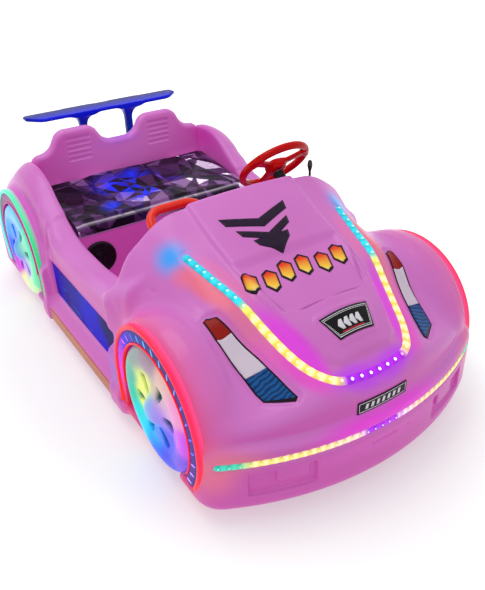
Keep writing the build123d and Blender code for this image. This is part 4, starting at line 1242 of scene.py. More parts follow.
# a loudspeaker's rim, cone and dome: radius, height over the seat's face
SPEAKER_LINE = [
    (0, 0), (65, 0), (65, 6), (63.5, 9.5), (60, 11.5), (56, 11.5), (53.5, 9), (52, 5), (49, 6.5),
    (45.5, 7.5), (42, 6), (40, 4), (30, 3), (19, 2), (18, 4.5), (13, 7.2), (7, 8.6), (0, 9),
]


class CARDRESS_OT_speakers(bpy.types.Operator):
    """Two loudspeakers in the seat's face, with their grilles"""
    bl_idname = "cardress.speakers"
    bl_label = "Speakers"

    def execute(self, context):
        black = finish("speaker_black", "#0C0A10", 0.42, 0.1, 700.0, 0.2)
        axes = ((0, 1, 0), (0, 0, 1), (1, 0, 0))
        parts = []
        for side in (1, -1):
            place = (CUSHION_FRONT_X, side * 296.0, 290.0)
            parts.append(turned_about("speaker", SPEAKER_LINE, place, axes))
            for radius in (14.0, 27.0, 40.0):
                ring = [(radius + 1.2 * cos(a), 11.2 + 1.2 * sin(a)) for a in np.linspace(0, 2 * pi, 9)]
                parts.append(turned_about("grille", ring, place, axes, 48))
            for n in range(6):
                a = n * pi / 3
                line = np.array([(11.2, r * cos(a), r * sin(a)) for r in (13, 34, 56)]) + place
                parts.append(tube("bar", line, [1.3, 1.3, 1.3], 8))
        made = joined("speaker_pair", parts)
        dressed(made, black, "black_plastic", "speakers")
        return {"FINISHED"}


# colour stops along the strips, from the car's left to its right, as shares of the length
BONNET_STOPS = [
    (0.0, "#18B8CC"), (0.17, "#20D0DC"), (0.19, "#E8E060"), (0.3, "#FFE060"), (0.405, "#FFD070"),
    (0.425, "#B020E0"), (0.575, "#A020E0"), (0.595, "#FFE070"), (0.7, "#FFE460"), (0.81, "#E8E860"),
    (0.83, "#20D0DC"), (1.0, "#18B8CC"),
]
BUMPER_STOPS = [
    (0.0, "#30C8B8"), (0.06, "#48D0A0"), (0.1, "#F0E060"), (0.25, "#FFE080"), (0.36, "#FFC8A0"),
    (0.42, "#F8D0F0"), (0.46, "#B838E8"), (0.56, "#A828E8"), (0.6, "#FFD8C0"), (0.75, "#FFE070"),
    (0.9, "#F8E870"), (0.94, "#50D0A8"), (1.0, "#30C8B8"),
]
WHITE, CREAM = rgb("#FFFFFF"), rgb("#FFF8E0")
BONNET_PITCH, BUMPER_PITCH = 30.0, 26.0
BUMPER_RUN = 985.0
BUMPER_ARC = 962.857


def strip_tint(stops, share, lamps, dim, warm, end, middle):
    """Colours along a strip, brighter over each lamp and whiter outside its ends and its middle."""
    beat = (0.5 + 0.5 * np.cos(share * lamps * 2 * pi))[:, None]
    mid = ramp(stops, share)
    plain = (share > end) & (share < 1 - end) & ~((share > middle[0]) & (share < middle[1]))
    return mid * (dim + (1 - dim) * beat) + plain[:, None] * warm * (CREAM - mid) * beat ** 2


def lamp_tint(stops, share, white, middle):
    """Colours of a strip's lamps, pure white in the middle."""
    inner = (share > middle[0]) & (share < middle[1])
    return np.where(inner[:, None], WHITE, white * CREAM + (1 - white) * ramp(stops, share))


def bonnet_strip(glass, lamp):
    """Light strip round the bonnet's edge and its lamps."""
    path = BONNET_LINE + [(948, 0)] + [(x, -y) for x, y in reversed(BONNET_LINE)]
    flat, run = rounded(path, 44, 5.0)
    line, lean = laid(skin("body_shell"), flat, "Z")
    even = np.ones(9) / 9
    lean = unit(np.stack([np.convolve(np.pad(lean[:, k], 4, "edge"), even, "valid") for k in range(3)], 1))
    share = np.linspace(0, 1, len(line))
    tint = strip_tint(BONNET_STOPS, share, run / BONNET_PITCH, 0.72, 0.55, 0.2, (0.415, 0.585))
    strip = bead("bonnet_strip_tube", line, lean, 24, 6.5, tint)
    dressed(strip, glass, "light_strip", "bonnet_light_strip")
    at = np.arange(0.5 * BONNET_PITCH, run, BONNET_PITCH) / run
    pick = np.interp(at, share, np.arange(len(line))).astype(int)
    dots = lamp_tint(BONNET_STOPS, at, 0.35, (0.43, 0.57))
    ahead = unit(np.gradient(line, axis=0))[pick]
    line, lean = line[pick], lean[pick]
    leds = studs("bonnet_strip_lamps", line + lean * 5.6, lean, ahead, (10, 10, 3.6), dots, lamp)
    dressed(leds, lamp, "light_strip")


def bumper_strip(glass, lamp):
    """Light strip in the nose bumper's channel, its lamps and their pins."""
    y = np.linspace(BUMPER_STRIP_Y, -BUMPER_STRIP_Y, 190)
    middle_x = NOSE_X - 5 - BUMPER_ARC
    line = np.stack([middle_x + np.sqrt(BUMPER_ARC ** 2 - y ** 2), y, np.full_like(y, BUMPER_STRIP_Z)], 1)
    lean = unit(np.stack([line[:, 0] - (NOSE_X - BUMPER_ARC), y, 0 * y], 1))
    line[:, 0] += 0.2
    share = np.linspace(0, 1, len(line))
    tint = strip_tint(BUMPER_STOPS, share, BUMPER_RUN / BUMPER_PITCH, 0.75, 0.5, 0.08, (0.45, 0.58))
    strip = bead("bumper_strip_tube", line, lean, 20, 4.7, tint)
    dressed(strip, glass, "light_strip", "bumper_light_strip")
    at = np.arange(0.5 * BUMPER_PITCH, BUMPER_RUN, BUMPER_PITCH) / BUMPER_RUN
    pick = np.interp(at, share, np.arange(len(line))).astype(int)
    dots = lamp_tint(BUMPER_STOPS, at, 0.4, (0.45, 0.58))
    ahead = unit(np.gradient(line, axis=0))[pick]
    line, lean = line[pick], lean[pick]
    leds = studs("bumper_strip_lamps", line + lean * 3.6, lean, ahead, (8, 8, 2.4), dots, lamp)
    dressed(leds, lamp, "light_strip")
    places = np.concatenate([line + lean * 1.6 + [0, 0, dz] for dz in (-8.2, 8.2)])
    lean, ahead = np.tile(lean, (2, 1)), np.tile(ahead, (2, 1))
    tints = np.tile(rgb("#4050C0"), (len(places), 1))
    pins = studs("bumper_strip_pins", places, lean, ahead, (4.5, 3, 2), tints, lamp)
    dressed(pins, lamp, "light_strip")


class CARDRESS_OT_strips(bpy.types.Operator):
    """Light strips round the bonnet and along the bumper, with their lamps"""
    bl_idname = "cardress.strips"
    bl_label = "Light strips"

    def execute(self, context):
        glass = glow_finish("strip_silicone", 0.62)
        lamp = glow_finish("lamp_dots", 0.9)
        bonnet_strip(glass, lamp)
        bumper_strip(glass, lamp)
        return {"FINISHED"}


# wheel cover: radius, height over its back plane
COVER_LINE = np.array([
    (0, 43), (17, 42), (30, 37), (42, 26), (54, 20), (80, 18), (108, 18), (122, 21), (140, 26),
    (158, 27), (172, 24), (182, 19), (188, 12), (190, 8),
], float)
COVER_BACK = 477.0
COVER_R, COVER_EDGE_R = 190.0, 184.0
# windows in a cover's face: how many, first angle, distance out, half length, half width, depth
WINDOWS, WINDOW_TURN, WINDOW_OUT = 6, 5.0, 81.0
WINDOW_LONG, WINDOW_WIDE, WINDOW_DEEP = 30.0, 13.5, 17.0
# colours of the lit covers: distance from the middle ahead and up, colour
FRONT_TINTS = [
    (0, 160, "#B8A4B4"), (-90, 130, "#A8B4B4"), (-150, 60, "#78CCC0"), (-160, -20, "#40D8C8"),
    (-110, -90, "#18E8E8"), (-66, 0, "#F2F48C"), (-56, 66, "#ECF4A0"), (-90, -130, "#08E8FF"),
    (-30, -120, "#10C8FF"), (-10, -165, "#1470FF"), (70, -150, "#5060F0"), (150, -90, "#9C78EC"),
    (165, 0, "#DC80F0"), (140, 90, "#F0B8DC"), (80, 150, "#E8CCC8"), (40, 84, "#D8D0B8"), (0, 0, "#94CCF0"),
    (40, 10, "#C8A4F0"), (20, -70, "#50A0F8"), (70, -60, "#6C70F0"), (60, 60, "#E4C0E0"),
]
REAR_TINTS = [
    (-120, 60, "#18B8FF"), (-150, -40, "#2088FF"), (-60, 0, "#1C70F0"), (-110, -120, "#E060E0"),
    (-20, -150, "#F4F0C0"), (80, -140, "#D8F4C8"), (150, -40, "#98F0C8"), (140, 80, "#88ECCC"),
    (40, 150, "#90D4E8"), (-60, 150, "#70CCF0"), (0, 0, "#70A8F4"), (50, 30, "#B0E8D0"),
    (40, -60, "#C8C0F0"), (-40, 70, "#30A8FF"), (-60, -80, "#D858E8"),
]


def on_arch(axle, radius, turns, y, way=1):
    """Points of a circle about a wheel arch's middle."""
    x = axle + way * radius * np.cos(turns)
    return np.stack([x, np.full_like(x, y), ARCH_Z + radius * np.sin(turns)], -1)


def windows(r, a):
    """Shallow windows in a cover's face, from 0 to 1, at radii and angles."""
    deep = 0
    for n in range(WINDOWS):
        at = radians(WINDOW_TURN + 360 / WINDOWS * n)
        u = r * np.cos(a - at) - WINDOW_OUT
        v = r * np.sin(a - at)
        half = WINDOW_WIDE + WINDOW_WIDE / 3 * np.clip(u / 28, -1, 1)
        away = np.hypot(np.maximum(np.abs(u) - (WINDOW_LONG - half), 0), v) - half
        deep = np.maximum(deep, eased(0.5 - away / 5))
    return deep


def cover(name, axle, side, tints):
    """One wheel cover: rounded rim, dished face with six windows and a domed hub."""
    rings = np.concatenate([np.linspace(0, 40, 9), np.linspace(44, 118, 26), np.linspace(124, COVER_R, 14)])
    turns = np.linspace(0, 2 * pi, 240, endpoint=False)
    r, a = np.meshgrid(rings, turns, indexing="ij")
    high = np.interp(r, *COVER_LINE.T)
    smooth = sum(np.interp(np.clip(r + d, 0, COVER_R), *COVER_LINE.T) for d in (-4, -2, 0, 2, 4)) / 5
    deep = windows(r, a)
    high = np.where(r < 186, smooth, high) - WINDOW_DEEP * deep
    points = np.stack([axle + r * np.cos(a), side * (COVER_BACK + high), ARCH_Z + r * np.sin(a)], -1)
    edge = on_arch(axle, COVER_EDGE_R, turns, side * COVER_BACK)
    hub = np.array([[axle, side * COVER_BACK, ARCH_Z]])
    everything = np.concatenate([points[1:].reshape(-1, 3), points[0, :1], edge, hub])
    count, many = len(rings), len(turns)
    top = (count - 1) * many
    first_edge = top + 1
    back = first_edge + many
    faces = []
    for k in range(many):
        j = (k + 1) % many
        faces.append((top, k, j))
        for n in range(count - 2):
            faces.append((n * many + k, (n + 1) * many + k, (n + 1) * many + j, n * many + j))
        faces.append(((count - 2) * many + k, first_edge + k, first_edge + j, (count - 2) * many + j))
        faces.append((back, first_edge + j, first_edge + k))
    made = piece(name, everything * MM, faces)
    recalculated(made.data)
    away = np.stack([everything[:, 0] - axle, everything[:, 2] - ARCH_Z], 1)
    colour = blended(away, tints, 24) ** 1.6
    shade = np.zeros(len(everything))
    shade[:top] = deep[1:].ravel()
    dark = ramp([(0.3, "#002C80"), (0.5, "#024A58"), (0.7, "#104A34")], away[:, 1] / 300 + 0.5)
    colour = colour + eased((shade - 0.15) / 0.5)[:, None] * (dark - colour)
    tinted(made.data, colour)
    return made


class CARDRESS_OT_covers(bpy.types.Operator):
    """Four lit wheel covers"""
    bl_idname = "cardress.covers"
    bl_label = "Wheel covers"

    def execute(self, context):
        pearl = glow_finish("lit_cover_plastic", 0.55, 0.3, 0.06, 600.0, gloss=0.3, shade=0.72)
        for end, axle, tints in (("front", AXLES[0], FRONT_TINTS), ("rear", AXLES[1], REAR_TINTS)):
            for word, side in (("left", 1), ("right", -1)):
                made = cover(f"{end}_{word}_cover", axle, side, tints)
                dressed(made, pearl, "cover_plastic", f"wheel_cover_{end}_{word}")
        return {"FINISHED"}


# colour stops from an arch's leg over its top to its other end
RING_STOPS = {
    "front": [(0, "#F83010"), (0.12, "#F01810"), (0.3, "#E02030"), (0.5, "#D81C40"), (0.75, "#F02858"),
              (1, "#FF2030")],
    "rear": [(0, "#20D868"), (0.25, "#28D078"), (0.5, "#48D8A0"), (0.7, "#58F0D8"), (1, "#60E8F0")],
}
BAND_STOPS = {
    "front": [(0, "#E82010"), (0.12, "#F02078"), (0.2, "#FF20E0"), (0.3, "#C020F0"), (0.36, "#2010F0"),
              (0.44, "#2410A0"), (0.6, "#30106A"), (0.85, "#34189C"), (1, "#4A1890")],
    "rear": [(0, "#9C1C68"), (0.4, "#B02090"), (0.7, "#6A1868"), (1, "#501060")],
}
DASH_STOPS = [
    (0, "#F060F0"), (0.12, "#5060F0"), (0.25, "#58B8FF"), (0.5, "#58A0F0"), (0.62, "#5060F0"),
    (0.8, "#6060E8"), (0.86, "#B080F0"), (1, "#D0A8F8"),
]
FOOT_TINTS = {"front": "#E060A8", "rear": "#C868B8"}
LINE_TINTS = {"front": "#F01020", "rear": "#B02078"}
ARCH_FOOT = 99.0
BAND_R, DASH_R, LINE_R = 218.0, 216.0, 197.0


def arch_line(axle, radius, y):
    """Points from the foot of an arch's leg over the top to its other end."""
    turn = 1 if axle > 0 else -1
    end = -np.arcsin((ARCH_Z - ARCH_FOOT) / radius)
    round_part = on_arch(axle, radius, np.linspace(pi, end, 90), y, turn)
    leg = [(axle - turn * radius, y, z) for z in np.linspace(ARCH_FOOT, ARCH_Z - 2, 24)]
    return np.concatenate([leg, round_part])


def arch_bead(line, side, width, height, tint, sink, **settings):
    """Half-round tube that faces outwards from one side of the car."""
    lean = np.tile([0.0, side, 0.0], (len(line), 1))
    return bead("arch_bead", line, lean, width, height, tint, sink, **settings)


def arch_dashes(axle, side, dash):
    """Slanted lit dashes along the band of one arch."""
    turns = np.radians(np.arange(140, -34, -11.5))
    slant = turns + radians(24)
    ahead = np.stack([np.cos(slant), 0 * slant, np.sin(slant)], 1)
    tints = ramp(DASH_STOPS, np.linspace(0, 1, len(turns)))
    places = on_arch(axle, DASH_R, turns, side * 497.0)
    return studs("dash", places, np.array([0.0, side, 0.0]), ahead, (25, 7.5, 3.4), tints, dash)


class CARDRESS_OT_arches(bpy.types.Operator):
    """Lit rings and bands round the four wheel arches, with dashes on the front bands"""
    bl_idname = "cardress.arches"
    bl_label = "Arch lights"

    def execute(self, context):
        lining = glow_finish("arch_light_tube", 0.5, 0.28)
        gloss = glow_finish("arch_band_film", 0.22, 0.28, 0.06, 500.0, 0.08, 0.1)
        dash = glow_finish("band_dashes", 0.6)
        for end, axle in (("front", AXLES[0]), ("rear", AXLES[1])):
            rings, dashes, bands = [], [], []
            for side in (1, -1):
                line = arch_line(axle, ARCH_R, side * 495.0)
                share = np.linspace(0, 1, len(line))
                tint = ramp(RING_STOPS[end], share)
                rings.append(arch_bead(line, side, 16, 6.5, tint, 30, foot=FOOT_TINTS[end]))
                line = arch_line(axle, BAND_R, side * 496.0)
                tint = ramp(BAND_STOPS[end], share)
                bands.append(arch_bead(line, side, 38, 1.2, tint, 20, sides=5))
                line = on_arch(axle, LINE_R, np.linspace(pi * 1.05, -0.55, 90), side * 495.5, np.sign(axle))
                tint = np.tile(rgb(LINE_TINTS[end]), (len(line), 1))
                rings.append(arch_bead(line, side, 6.5, 4, tint, 8))
                if end == "front":
                    dashes.append(arch_dashes(axle, side, dash))
            dressed(joined(f"{end}_arch_lights", rings), lining, "arch_light", f"arch_rings_{end}")
            dressed(joined(f"{end}_arch_bands", bands), gloss, "arch_band", f"arch_liners_{end}")
            if dashes:
                dressed(joined(f"{end}_band_dashes", dashes), dash, "arch_band")
        return {"FINISHED"}


def joined(name, parts):
    """One object from several, kept at the origin."""
    work = bmesh.new()
    for part in parts:
        work.from_mesh(part.data)
    for part in parts:
        bpy.data.objects.remove(part)
    return from_work(name, work)


# colour, where each band starts and ends along the inner and the outer edge
LAMP_BANDS = (
    ("#8E1208", 645, 695, 632, 691), ("#D0C4D2", 695, 802, 691, 790), ("#12589C", 802, 898, 790, 856),
)
LAMP_INNER = np.array([(645, 305), (709, 284), (770, 261), (835, 242), (900, 226)], float)
LAMP_OUTER = np.array([(631, 343), (690, 340), (733, 329), (781, 319), (832, 312), (858, 304)], float)

LAMP_MARGIN = 4.0
PLATE_BLACK, LINE_SILVER = "#0A080C", "#E0E0E4"


def lamp_band(start_in, end_in, start_out, end_out):
    """Outline of one colour band between a lamp's inner and outer edge."""
    inner = [(x, np.interp(x, *LAMP_INNER.T) + LAMP_MARGIN) for x in np.linspace(start_in, end_in, 9)]
    outer = [(x, np.interp(x, *LAMP_OUTER.T) - LAMP_MARGIN) for x in np.linspace(end_out, start_out, 9)]
    return inner + outer


def rippled_film():
    """Printed film whose blue parts carry dark ripples."""
    rippled = finish("lamp_band_film", None, 0.22, 0.06, 900.0, 0.12, 0.14)
    tree = rippled.node_tree
    colour = attribute(rippled)
    parts = node(tree, "ShaderNodeSeparateColor", {"Color": colour}).outputs
    lead = node(tree, "ShaderNodeMath", {0: parts["Blue"], 1: parts["Red"]}, operation="SUBTRACT")
    wave = node(tree, "ShaderNodeTexWave", {
        "Vector": place_in(tree), "Scale": 27.0, "Distortion": 3.5, "Detail": 2.0, "Detail Scale": 1.5,
    }, bands_direction="X").outputs["Fac"]
    share = spread_out(tree, lead.outputs[0], 0.05, 0.3)
    share = node(tree, "ShaderNodeMath", {0: share, 1: wave}, operation="MULTIPLY").outputs[0]
    return lit(rippled, mix(tree, share, colour, paint("#062C58")), 0.12)


def lamp_films(body, gloss, rippled):
    """Dark edge and colour bands in the two lamp recesses."""
    for word, side, nodes in (("left", 1, ["lamp_panels"]), ("right", -1, [])):
        ring = [(x, side * y) for x, y in LAMP_LINE]
        back = film(f"{word}_lamp_edge", body, [(ring, "#120810")], "Z", 0.5, 1.2)
        dressed(back, gloss, "lamp_film", *nodes)
        bands = [([(x, side * y) for x, y in lamp_band(*ends)], code) for code, *ends in LAMP_BANDS]
        dressed(film(f"{word}_lamp_bands", body, bands, "Z", 1.9, 0.8, 9.0), rippled, "lamp_film")


def badge_films(body, gloss, silver):
    """Badge on the nose: a dark plate, two fine lines and plain slanted marks."""
    badge = BADGE_LINE + [(x, -y) for x, y in reversed(BADGE_LINE)]
    plate = film("badge_plate", body, [(badge, PLATE_BLACK)], "Z", 0.8, 2.0)
    dressed(plate, gloss, "black_film", "nose_badge")
    lines = [(bar, LINE_SILVER) for bar in frame_bars(badge, 5.0, 1.5) + frame_bars(badge, 9.0, 1.0)]
    dressed(film("badge_lines", body, lines, "Z", 2.9, 0.5), silver, "black_film")
    mark = [(822, 0), (822, -9), (834, -19), (846, -9), (846, 0), (834, -10)]
    marks = [([(x, y + high) for x, y in mark], "#D8D4DC") for high in (34, 14, -6, -26)]
    marks.append(([(850, 34), (850, -42), (853, -40), (853, 33)], "#B81820"))
    dressed(film("badge_marks", body, marks, "Z", 2.9, 0.5, 8.0), gloss, "black_film")


def plate_films(body, gloss, silver):
    """Number plate on the bumper: a dark board, a fine line and plain slanted marks."""
    plate = [(-87, 274), (87, 274), (87, 312), (-87, 312)]
    board = film("plate_board", body, [(plate, PLATE_BLACK)], "X", 0.8, 2.2)
    dressed(board, gloss, "black_film", "number_plate")
    lines = [(bar, LINE_SILVER) for bar in frame_bars(plate, 4.0, 1.6)]
    dressed(film("plate_line", body, lines, "X", 3.1, 0.5), silver, "black_film")
    mark = [(-6, 285), (3, 285), (6, 301), (-3, 301)]
    marks = [([(y + across_y, z) for y, z in mark], "#E4E0E8") for across_y in range(-57, 58, 19)]
    dressed(film("plate_marks", body, marks, "X", 3.1, 0.5, 8.0), gloss, "black_film")


def bonnet_motifs(body, gloss):
    """Three dark chevrons and a slanted row of outlined lozenges on the bonnet."""
    chevrons = []
    for x, reach, wide in ((392, 118, 30), (446, 92, 26), (494, 62, 22)):
        shape = [(x, -reach - 20), (x + wide, -reach - 12), (x + wide + 40, -20), (x + wide, reach - 28),
                 (x, reach - 20), (x + 38, -20)]
        chevrons.append((shape, "#1E0A28"))
    dressed(film("bonnet_chevrons", body, chevrons, "Z", 0.4, 0.7, 10.0), gloss, "black_film")
    lozenge = 1.28 * np.array([(-30, 6), (-14, 24), (26, 10), (34, -8), (12, -22), (-22, -12)])
    codes = ["#E02818", "#E85820", "#F4C83C", "#F6DC8C", "#F4C040", "#E23418"]
    rims, fills = [], []
    for n in range(6):
        place = [616 + 9 * sin(n * 1.9), 136 - n * 62]
        rims.append((list(map(tuple, lozenge + place)), "#140C10"))
        fills.append((list(map(tuple, lozenge * 0.78 + place)), codes))
    dressed(film("bonnet_lozenge_rims", body, rims, "Z", 0.4, 1.0, 9.0), gloss, "black_film")
    dressed(film("bonnet_lozenges", body, fills, "Z", 1.6, 0.7, 9.0), gloss, "lamp_film")


class CARDRESS_OT_lamps(bpy.types.Operator):
    """Lamp films in their recesses, badge, number plate and the bonnet's motifs"""
    bl_idname = "cardress.lamps"
    bl_label = "Lamps, plates and motifs"

    def execute(self, context):
        body = skin("body_shell")
        gloss = glow_finish("printed_film", 0.12, 0.22, 0.06, 900.0, 0.12, 0.14)
        rippled = rippled_film()
        silver = finish("silver_line", "#D8D8DC", 0.25, 0.08, 900.0, 0.05, Metallic=0.6)
        lamp_films(body, gloss, rippled)
        badge_films(body, gloss, silver)
        plate_films(body, gloss, silver)
        bonnet_motifs(body, gloss)
        return {"FINISHED"}


def frame_bars(corners, inset, width):
    """Four bars just inside a plate's outline."""
    ring = np.array(corners, float)
    middle = ring.mean(0)
    size = np.abs(ring - middle).max(0)
    outer = middle + (ring - middle) * (1 - inset / size)
    inner = middle + (ring - middle) * (1 - (inset + width) / size)
    bars = []
    for n in range(len(ring)):
        m = (n + 1) % len(ring)
        bars.append([tuple(outer[n]), tuple(outer[m]), tuple(inner[m]), tuple(inner[n])])
    return bars


def streaked_blue():
    """Blue panel with pale, level streaks."""
    blue = finish("streaked_blue_panel", None, 0.35, 0.06, 500.0, 0.04, 0.03)
    tree = blue.node_tree
    place = place_in(tree)
    stretch = node(tree, "ShaderNodeMapping", {"Vector": place, "Scale": (3.0, 1.0, 26.0)}).outputs[0]
    warp = node(tree, "ShaderNodeTexNoise", {
        "Vector": stretch, "Scale": 1.4, "Detail": 3.0, "Distortion": 0.8,
    })
    wide = node(tree, "ShaderNodeTexNoise", {"Vector": place, "Scale": 5.0, "Detail": 1.0})
    pale = spread_out(tree, wide.outputs["Fac"], 0.4, 0.62)
    peak = spread_out(tree, warp.outputs["Fac"], 0.58, 0.72)
    colour = mix(tree, pale, paint("#080C60"), paint("#0410C0"))
    return lit(blue, mix(tree, peak, colour, paint("#2C78D8")), 0.35)


def sill_plastic():
    """Orange sill band with soft clouds."""
    orange = finish("sill_band_plastic", None, 0.35, 0.1, 300.0, 0.1)
    tree = orange.node_tree
    cloud = node(tree, "ShaderNodeTexNoise", {"Vector": place_in(tree), "Scale": 9.0, "Detail": 2.0})
    return lit(orange, mix(tree, cloud.outputs["Fac"], paint("#A85A3C"), paint("#C07848")), 0.25)


def sill_lamps():
    """Small green lamps of uneven brightness along both sills."""
    lamp = glow_finish("sill_lamp_dots", 0.8)
    bright_green, dull_green = rgb("#68F048"), rgb("#7A6A30")
    x = np.arange(-300.0, 301.0, 15.0)
    rng = np.random.default_rng(4)
    places, leans, tints = [], [], []
    for side in (1, -1):
        places.append(np.stack([x, np.full_like(x, side * 502.6), 80 + 3 * np.sin(x / 60)], 1))
        leans.append(np.tile([0.0, side, 0.0], (len(x), 1)))
        bright = rng.uniform(0.35, 1.0, len(x))[:, None]
        tints.append(bright * bright_green + (1 - bright) * dull_green)
    places, leans, tints = (np.concatenate(rows) for rows in (places, leans, tints))
    dots = studs("sill_lamps", places, leans, (1, 0, 0), (6.5, 4.5, 0.8), tints, lamp)
    dressed(dots, lamp, "light_strip")


class CARDRESS_OT_sides(bpy.types.Operator):
    """Blue side panels, sill bands and their lamps"""
    bl_idname = "cardress.sides"
    bl_label = "Side panels and sills"

    def execute(self, context):
        repainted("side_panels", streaked_blue())
        repainted("sill_light_strips", sill_plastic())
        sill_lamps()
        return {"FINISHED"}


GENERIC = {
    "body_plastic": "#B04AA4", "seat_vinyl": "#0E0C14", "blue_plastic": "#0A20C0", "black_plastic": "#0B090C",
    "red_plastic": "#D01808", "steel": "#9AA0A6", "painted_steel": "#2A2C30", "battery_case": "#1B1D22",
    "motor_case": "#3A3D42", "light_strip": "#F0E070", "arch_light": "#F050A0", "arch_band": "#6020B0",
    "blue_panel": "#1018A0", "lamp_film": "#C04040", "black_film": "#0A0A0C", "cover_plastic": "#D0A0F0",
    "tyre": "#18181A", "wheel_hub": "#8A8F96",
}


class CARDRESS_OT_chassis(bpy.types.Operator):
    """Finishes for the chassis, running gear and what else shows as made in CAD"""
    bl_idname = "cardress.chassis"
    bl_label = "Chassis and running gear"

    def execute(self, context):
        slots = {}
        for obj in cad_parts.values():
            for held in obj.material_slots:
                key = held.material.name.split(".")[0] if held.material else ""
                if key in GENERIC and key not in slots:
                    slots[key] = finish(f"{key}_finish", GENERIC[key])
                if key in slots:
                    held.material = slots[key]
        return {"FINISHED"}


# ---- Stage -------------------------------------------------------------------------------------
CAMERA_PLACE = (1.939, -1.041, 1.463)
CAMERA_AZIMUTH = 57.65
CAMERA_RISE = 31.36
CAMERA_ROLL = -1.966
CAMERA_LENS = 40.64
LAMP_PLACE, LAMP_AIM, LAMP_SIZE = (-0.4, -0.9, 3.6), (0.1, 0.22, 1), 2.6


class CARDRESS_PG_stage(bpy.types.PropertyGroup):
    """Light levels of the studio."""
    room: bpy.props.FloatProperty(
        name="Room light", description="Soft light from all round", default=0.6, min=0.0,
    )
    key: bpy.props.FloatProperty(
        name="Key light", description="Power of the lamp overhead, in watts", default=48.0, min=0.0,
    )


def placed_camera():
    """Camera that sees the car from its front right corner."""
    rise, turn, roll = radians(CAMERA_RISE), radians(CAMERA_AZIMUTH), radians(CAMERA_ROLL)
    back = Vector((sin(turn) * cos(rise), -cos(turn) * cos(rise), sin(rise)))
    level = Vector((0, 0, 1)).cross(back).normalized()
    upright = back.cross(level)
    right = level * cos(roll) + upright * sin(roll)
    up = upright * cos(roll) - level * sin(roll)
    view = Matrix((right, up, back)).transposed().to_4x4()
    camera = bpy.data.objects.new("camera", bpy.data.cameras.new("camera"))
    camera.data.lens = CAMERA_LENS
    camera.data.clip_end = 100
    camera.matrix_world = Matrix.Translation(CAMERA_PLACE) @ view
    return camera


def bare_tree(holder):
    """Empty node tree of a material or a world."""
    holder.use_nodes = True
    holder.node_tree.nodes.clear()
    return holder.node_tree


def seen_plainly(tree):
    """1 for rays that the camera, a mirror or a clear piece sees, and 0 for light on the object."""
    rays = node(tree, "ShaderNodeLightPath")
    seen = rays.outputs["Is Camera Ray"]
    for ray in ("Is Glossy Ray", "Is Transmission Ray"):
        seen = node(tree, "ShaderNodeMath", {0: seen, 1: rays.outputs[ray]}, operation="MAXIMUM")
        seen = seen.outputs[0]
    return seen


def floor_finish():
    """Pale floor that takes a soft shadow near the car and is plain white far from it."""
    cloth = bpy.data.materials.new("floor_finish")
    tree = bare_tree(cloth)
    oval = node(tree, "ShaderNodeMapping", {"Vector": place_in(tree), "Scale": (0.75, 1.1, 1.0)})
    far = node(tree, "ShaderNodeVectorMath", {0: oval.outputs[0]}, operation="LENGTH").outputs["Value"]
    fade = node(tree, "ShaderNodeMapRange", {
        "Value": far, "From Min": 0.75, "From Max": 1.35, "To Min": 0.3, "To Max": 1.0,
    }, interpolation_type="SMOOTHSTEP").outputs["Result"]
    share = node(tree, "ShaderNodeMath", {0: seen_plainly(tree), 1: fade}, operation="MULTIPLY").outputs[0]
    matt = node(tree, "ShaderNodeBsdfDiffuse", {"Color": (0.93, 0.93, 0.93, 1)}).outputs[0]
    plain = node(tree, "ShaderNodeEmission", {"Color": (1, 1, 1, 1), "Strength": 1.4}).outputs[0]
    both = node(tree, "ShaderNodeMixShader", {0: share, 1: matt, 2: plain}).outputs[0]
    node(tree, "ShaderNodeOutputMaterial", {"Surface": both})
    return cloth


def studio(room):
    """White world that lights the car softly."""
    world = bpy.data.worlds.new("studio")
    tree = bare_tree(world)
    strength = node(tree, "ShaderNodeMapRange", {
        "Value": seen_plainly(tree), "To Min": room, "To Max": 1.0,
    }).outputs["Result"]
    sky = node(tree, "ShaderNodeBackground", {"Strength": strength, "Color": (1, 1, 1, 1)})
    node(tree, "ShaderNodeOutputWorld", {"Surface": sky.outputs[0]})
    return world


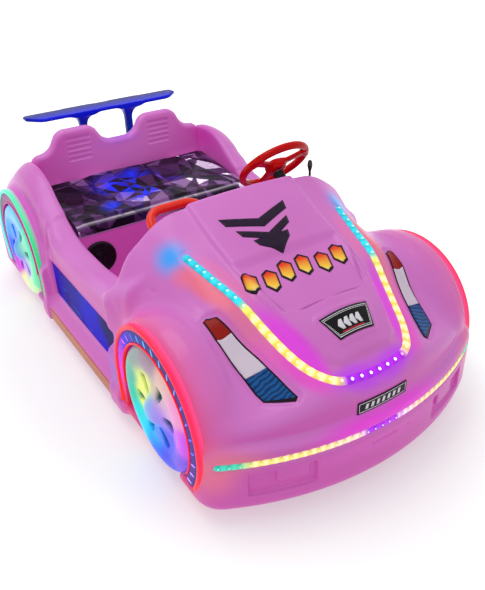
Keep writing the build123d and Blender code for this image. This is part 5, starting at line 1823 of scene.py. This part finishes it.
class CARDRESS_OT_stage(bpy.types.Operator):
    """Pale floor, soft studio light and camera"""
    bl_idname = "cardress.stage"
    bl_label = "Stage"

    def execute(self, context):
        scene = context.scene
        levels = scene.cardress_stage
        camera = placed_camera()
        scene.collection.objects.link(camera)
        scene.camera = camera
        floor = piece("floor", [(-40, -40, 0), (40, -40, 0), (40, 40, 0), (-40, 40, 0)], [(0, 1, 2, 3)])
        floor.data.materials.append(floor_finish())
        scene.world = studio(levels.room)
        lamp = bpy.data.objects.new("key_light", bpy.data.lights.new("key_light", "AREA"))
        lamp.data.energy = levels.key
        lamp.data.size = LAMP_SIZE
        aim = Vector(LAMP_AIM).to_track_quat("Z", "Y").inverted()
        lamp.matrix_world = Matrix.Translation(LAMP_PLACE) @ aim.to_matrix().to_4x4()
        scene.collection.objects.link(lamp)
        scene.view_settings.view_transform = "Standard"
        return {"FINISHED"}


class CARDRESS_PT_panel(bpy.types.Panel):
    """Lists the pieces of the bumper car"""
    bl_idname = "CARDRESS_PT_panel"
    bl_label = "Bumper car"
    bl_space_type = "VIEW_3D"
    bl_region_type = "UI"
    bl_category = "Bumper car"

    def draw(self, context):
        for group in GROUPS:
            held = getattr(context.scene, group)
            for key in held.bl_rna.properties.keys():
                if key not in ("name", "rna_type"):
                    self.layout.prop(held, key)
        for operator in PIECES:
            self.layout.operator(operator.bl_idname)


GROUPS = {"cardress_body": CARDRESS_PG_body, "cardress_stage": CARDRESS_PG_stage}
PIECES = (
    CARDRESS_OT_chassis, CARDRESS_OT_body, CARDRESS_OT_seat, CARDRESS_OT_cushion, CARDRESS_OT_film,
    CARDRESS_OT_controls, CARDRESS_OT_speakers, CARDRESS_OT_wing, CARDRESS_OT_strips, CARDRESS_OT_covers,
    CARDRESS_OT_arches, CARDRESS_OT_lamps, CARDRESS_OT_sides, CARDRESS_OT_stage,
)


def register():
    for kind in (*GROUPS.values(), *PIECES, CARDRESS_PT_panel):
        bpy.utils.register_class(kind)
    for name, kind in GROUPS.items():
        setattr(bpy.types.Scene, name, bpy.props.PointerProperty(type=kind))


def unregister():
    for name in GROUPS:
        delattr(bpy.types.Scene, name)
    for kind in (CARDRESS_PT_panel, *reversed(PIECES), *reversed(list(GROUPS.values()))):
        bpy.utils.unregister_class(kind)


def main():
    register()
    for operator in PIECES:
        family, action = operator.bl_idname.split(".")
        getattr(getattr(bpy.ops, family), action)()


if __name__ == "__main__":
    main()
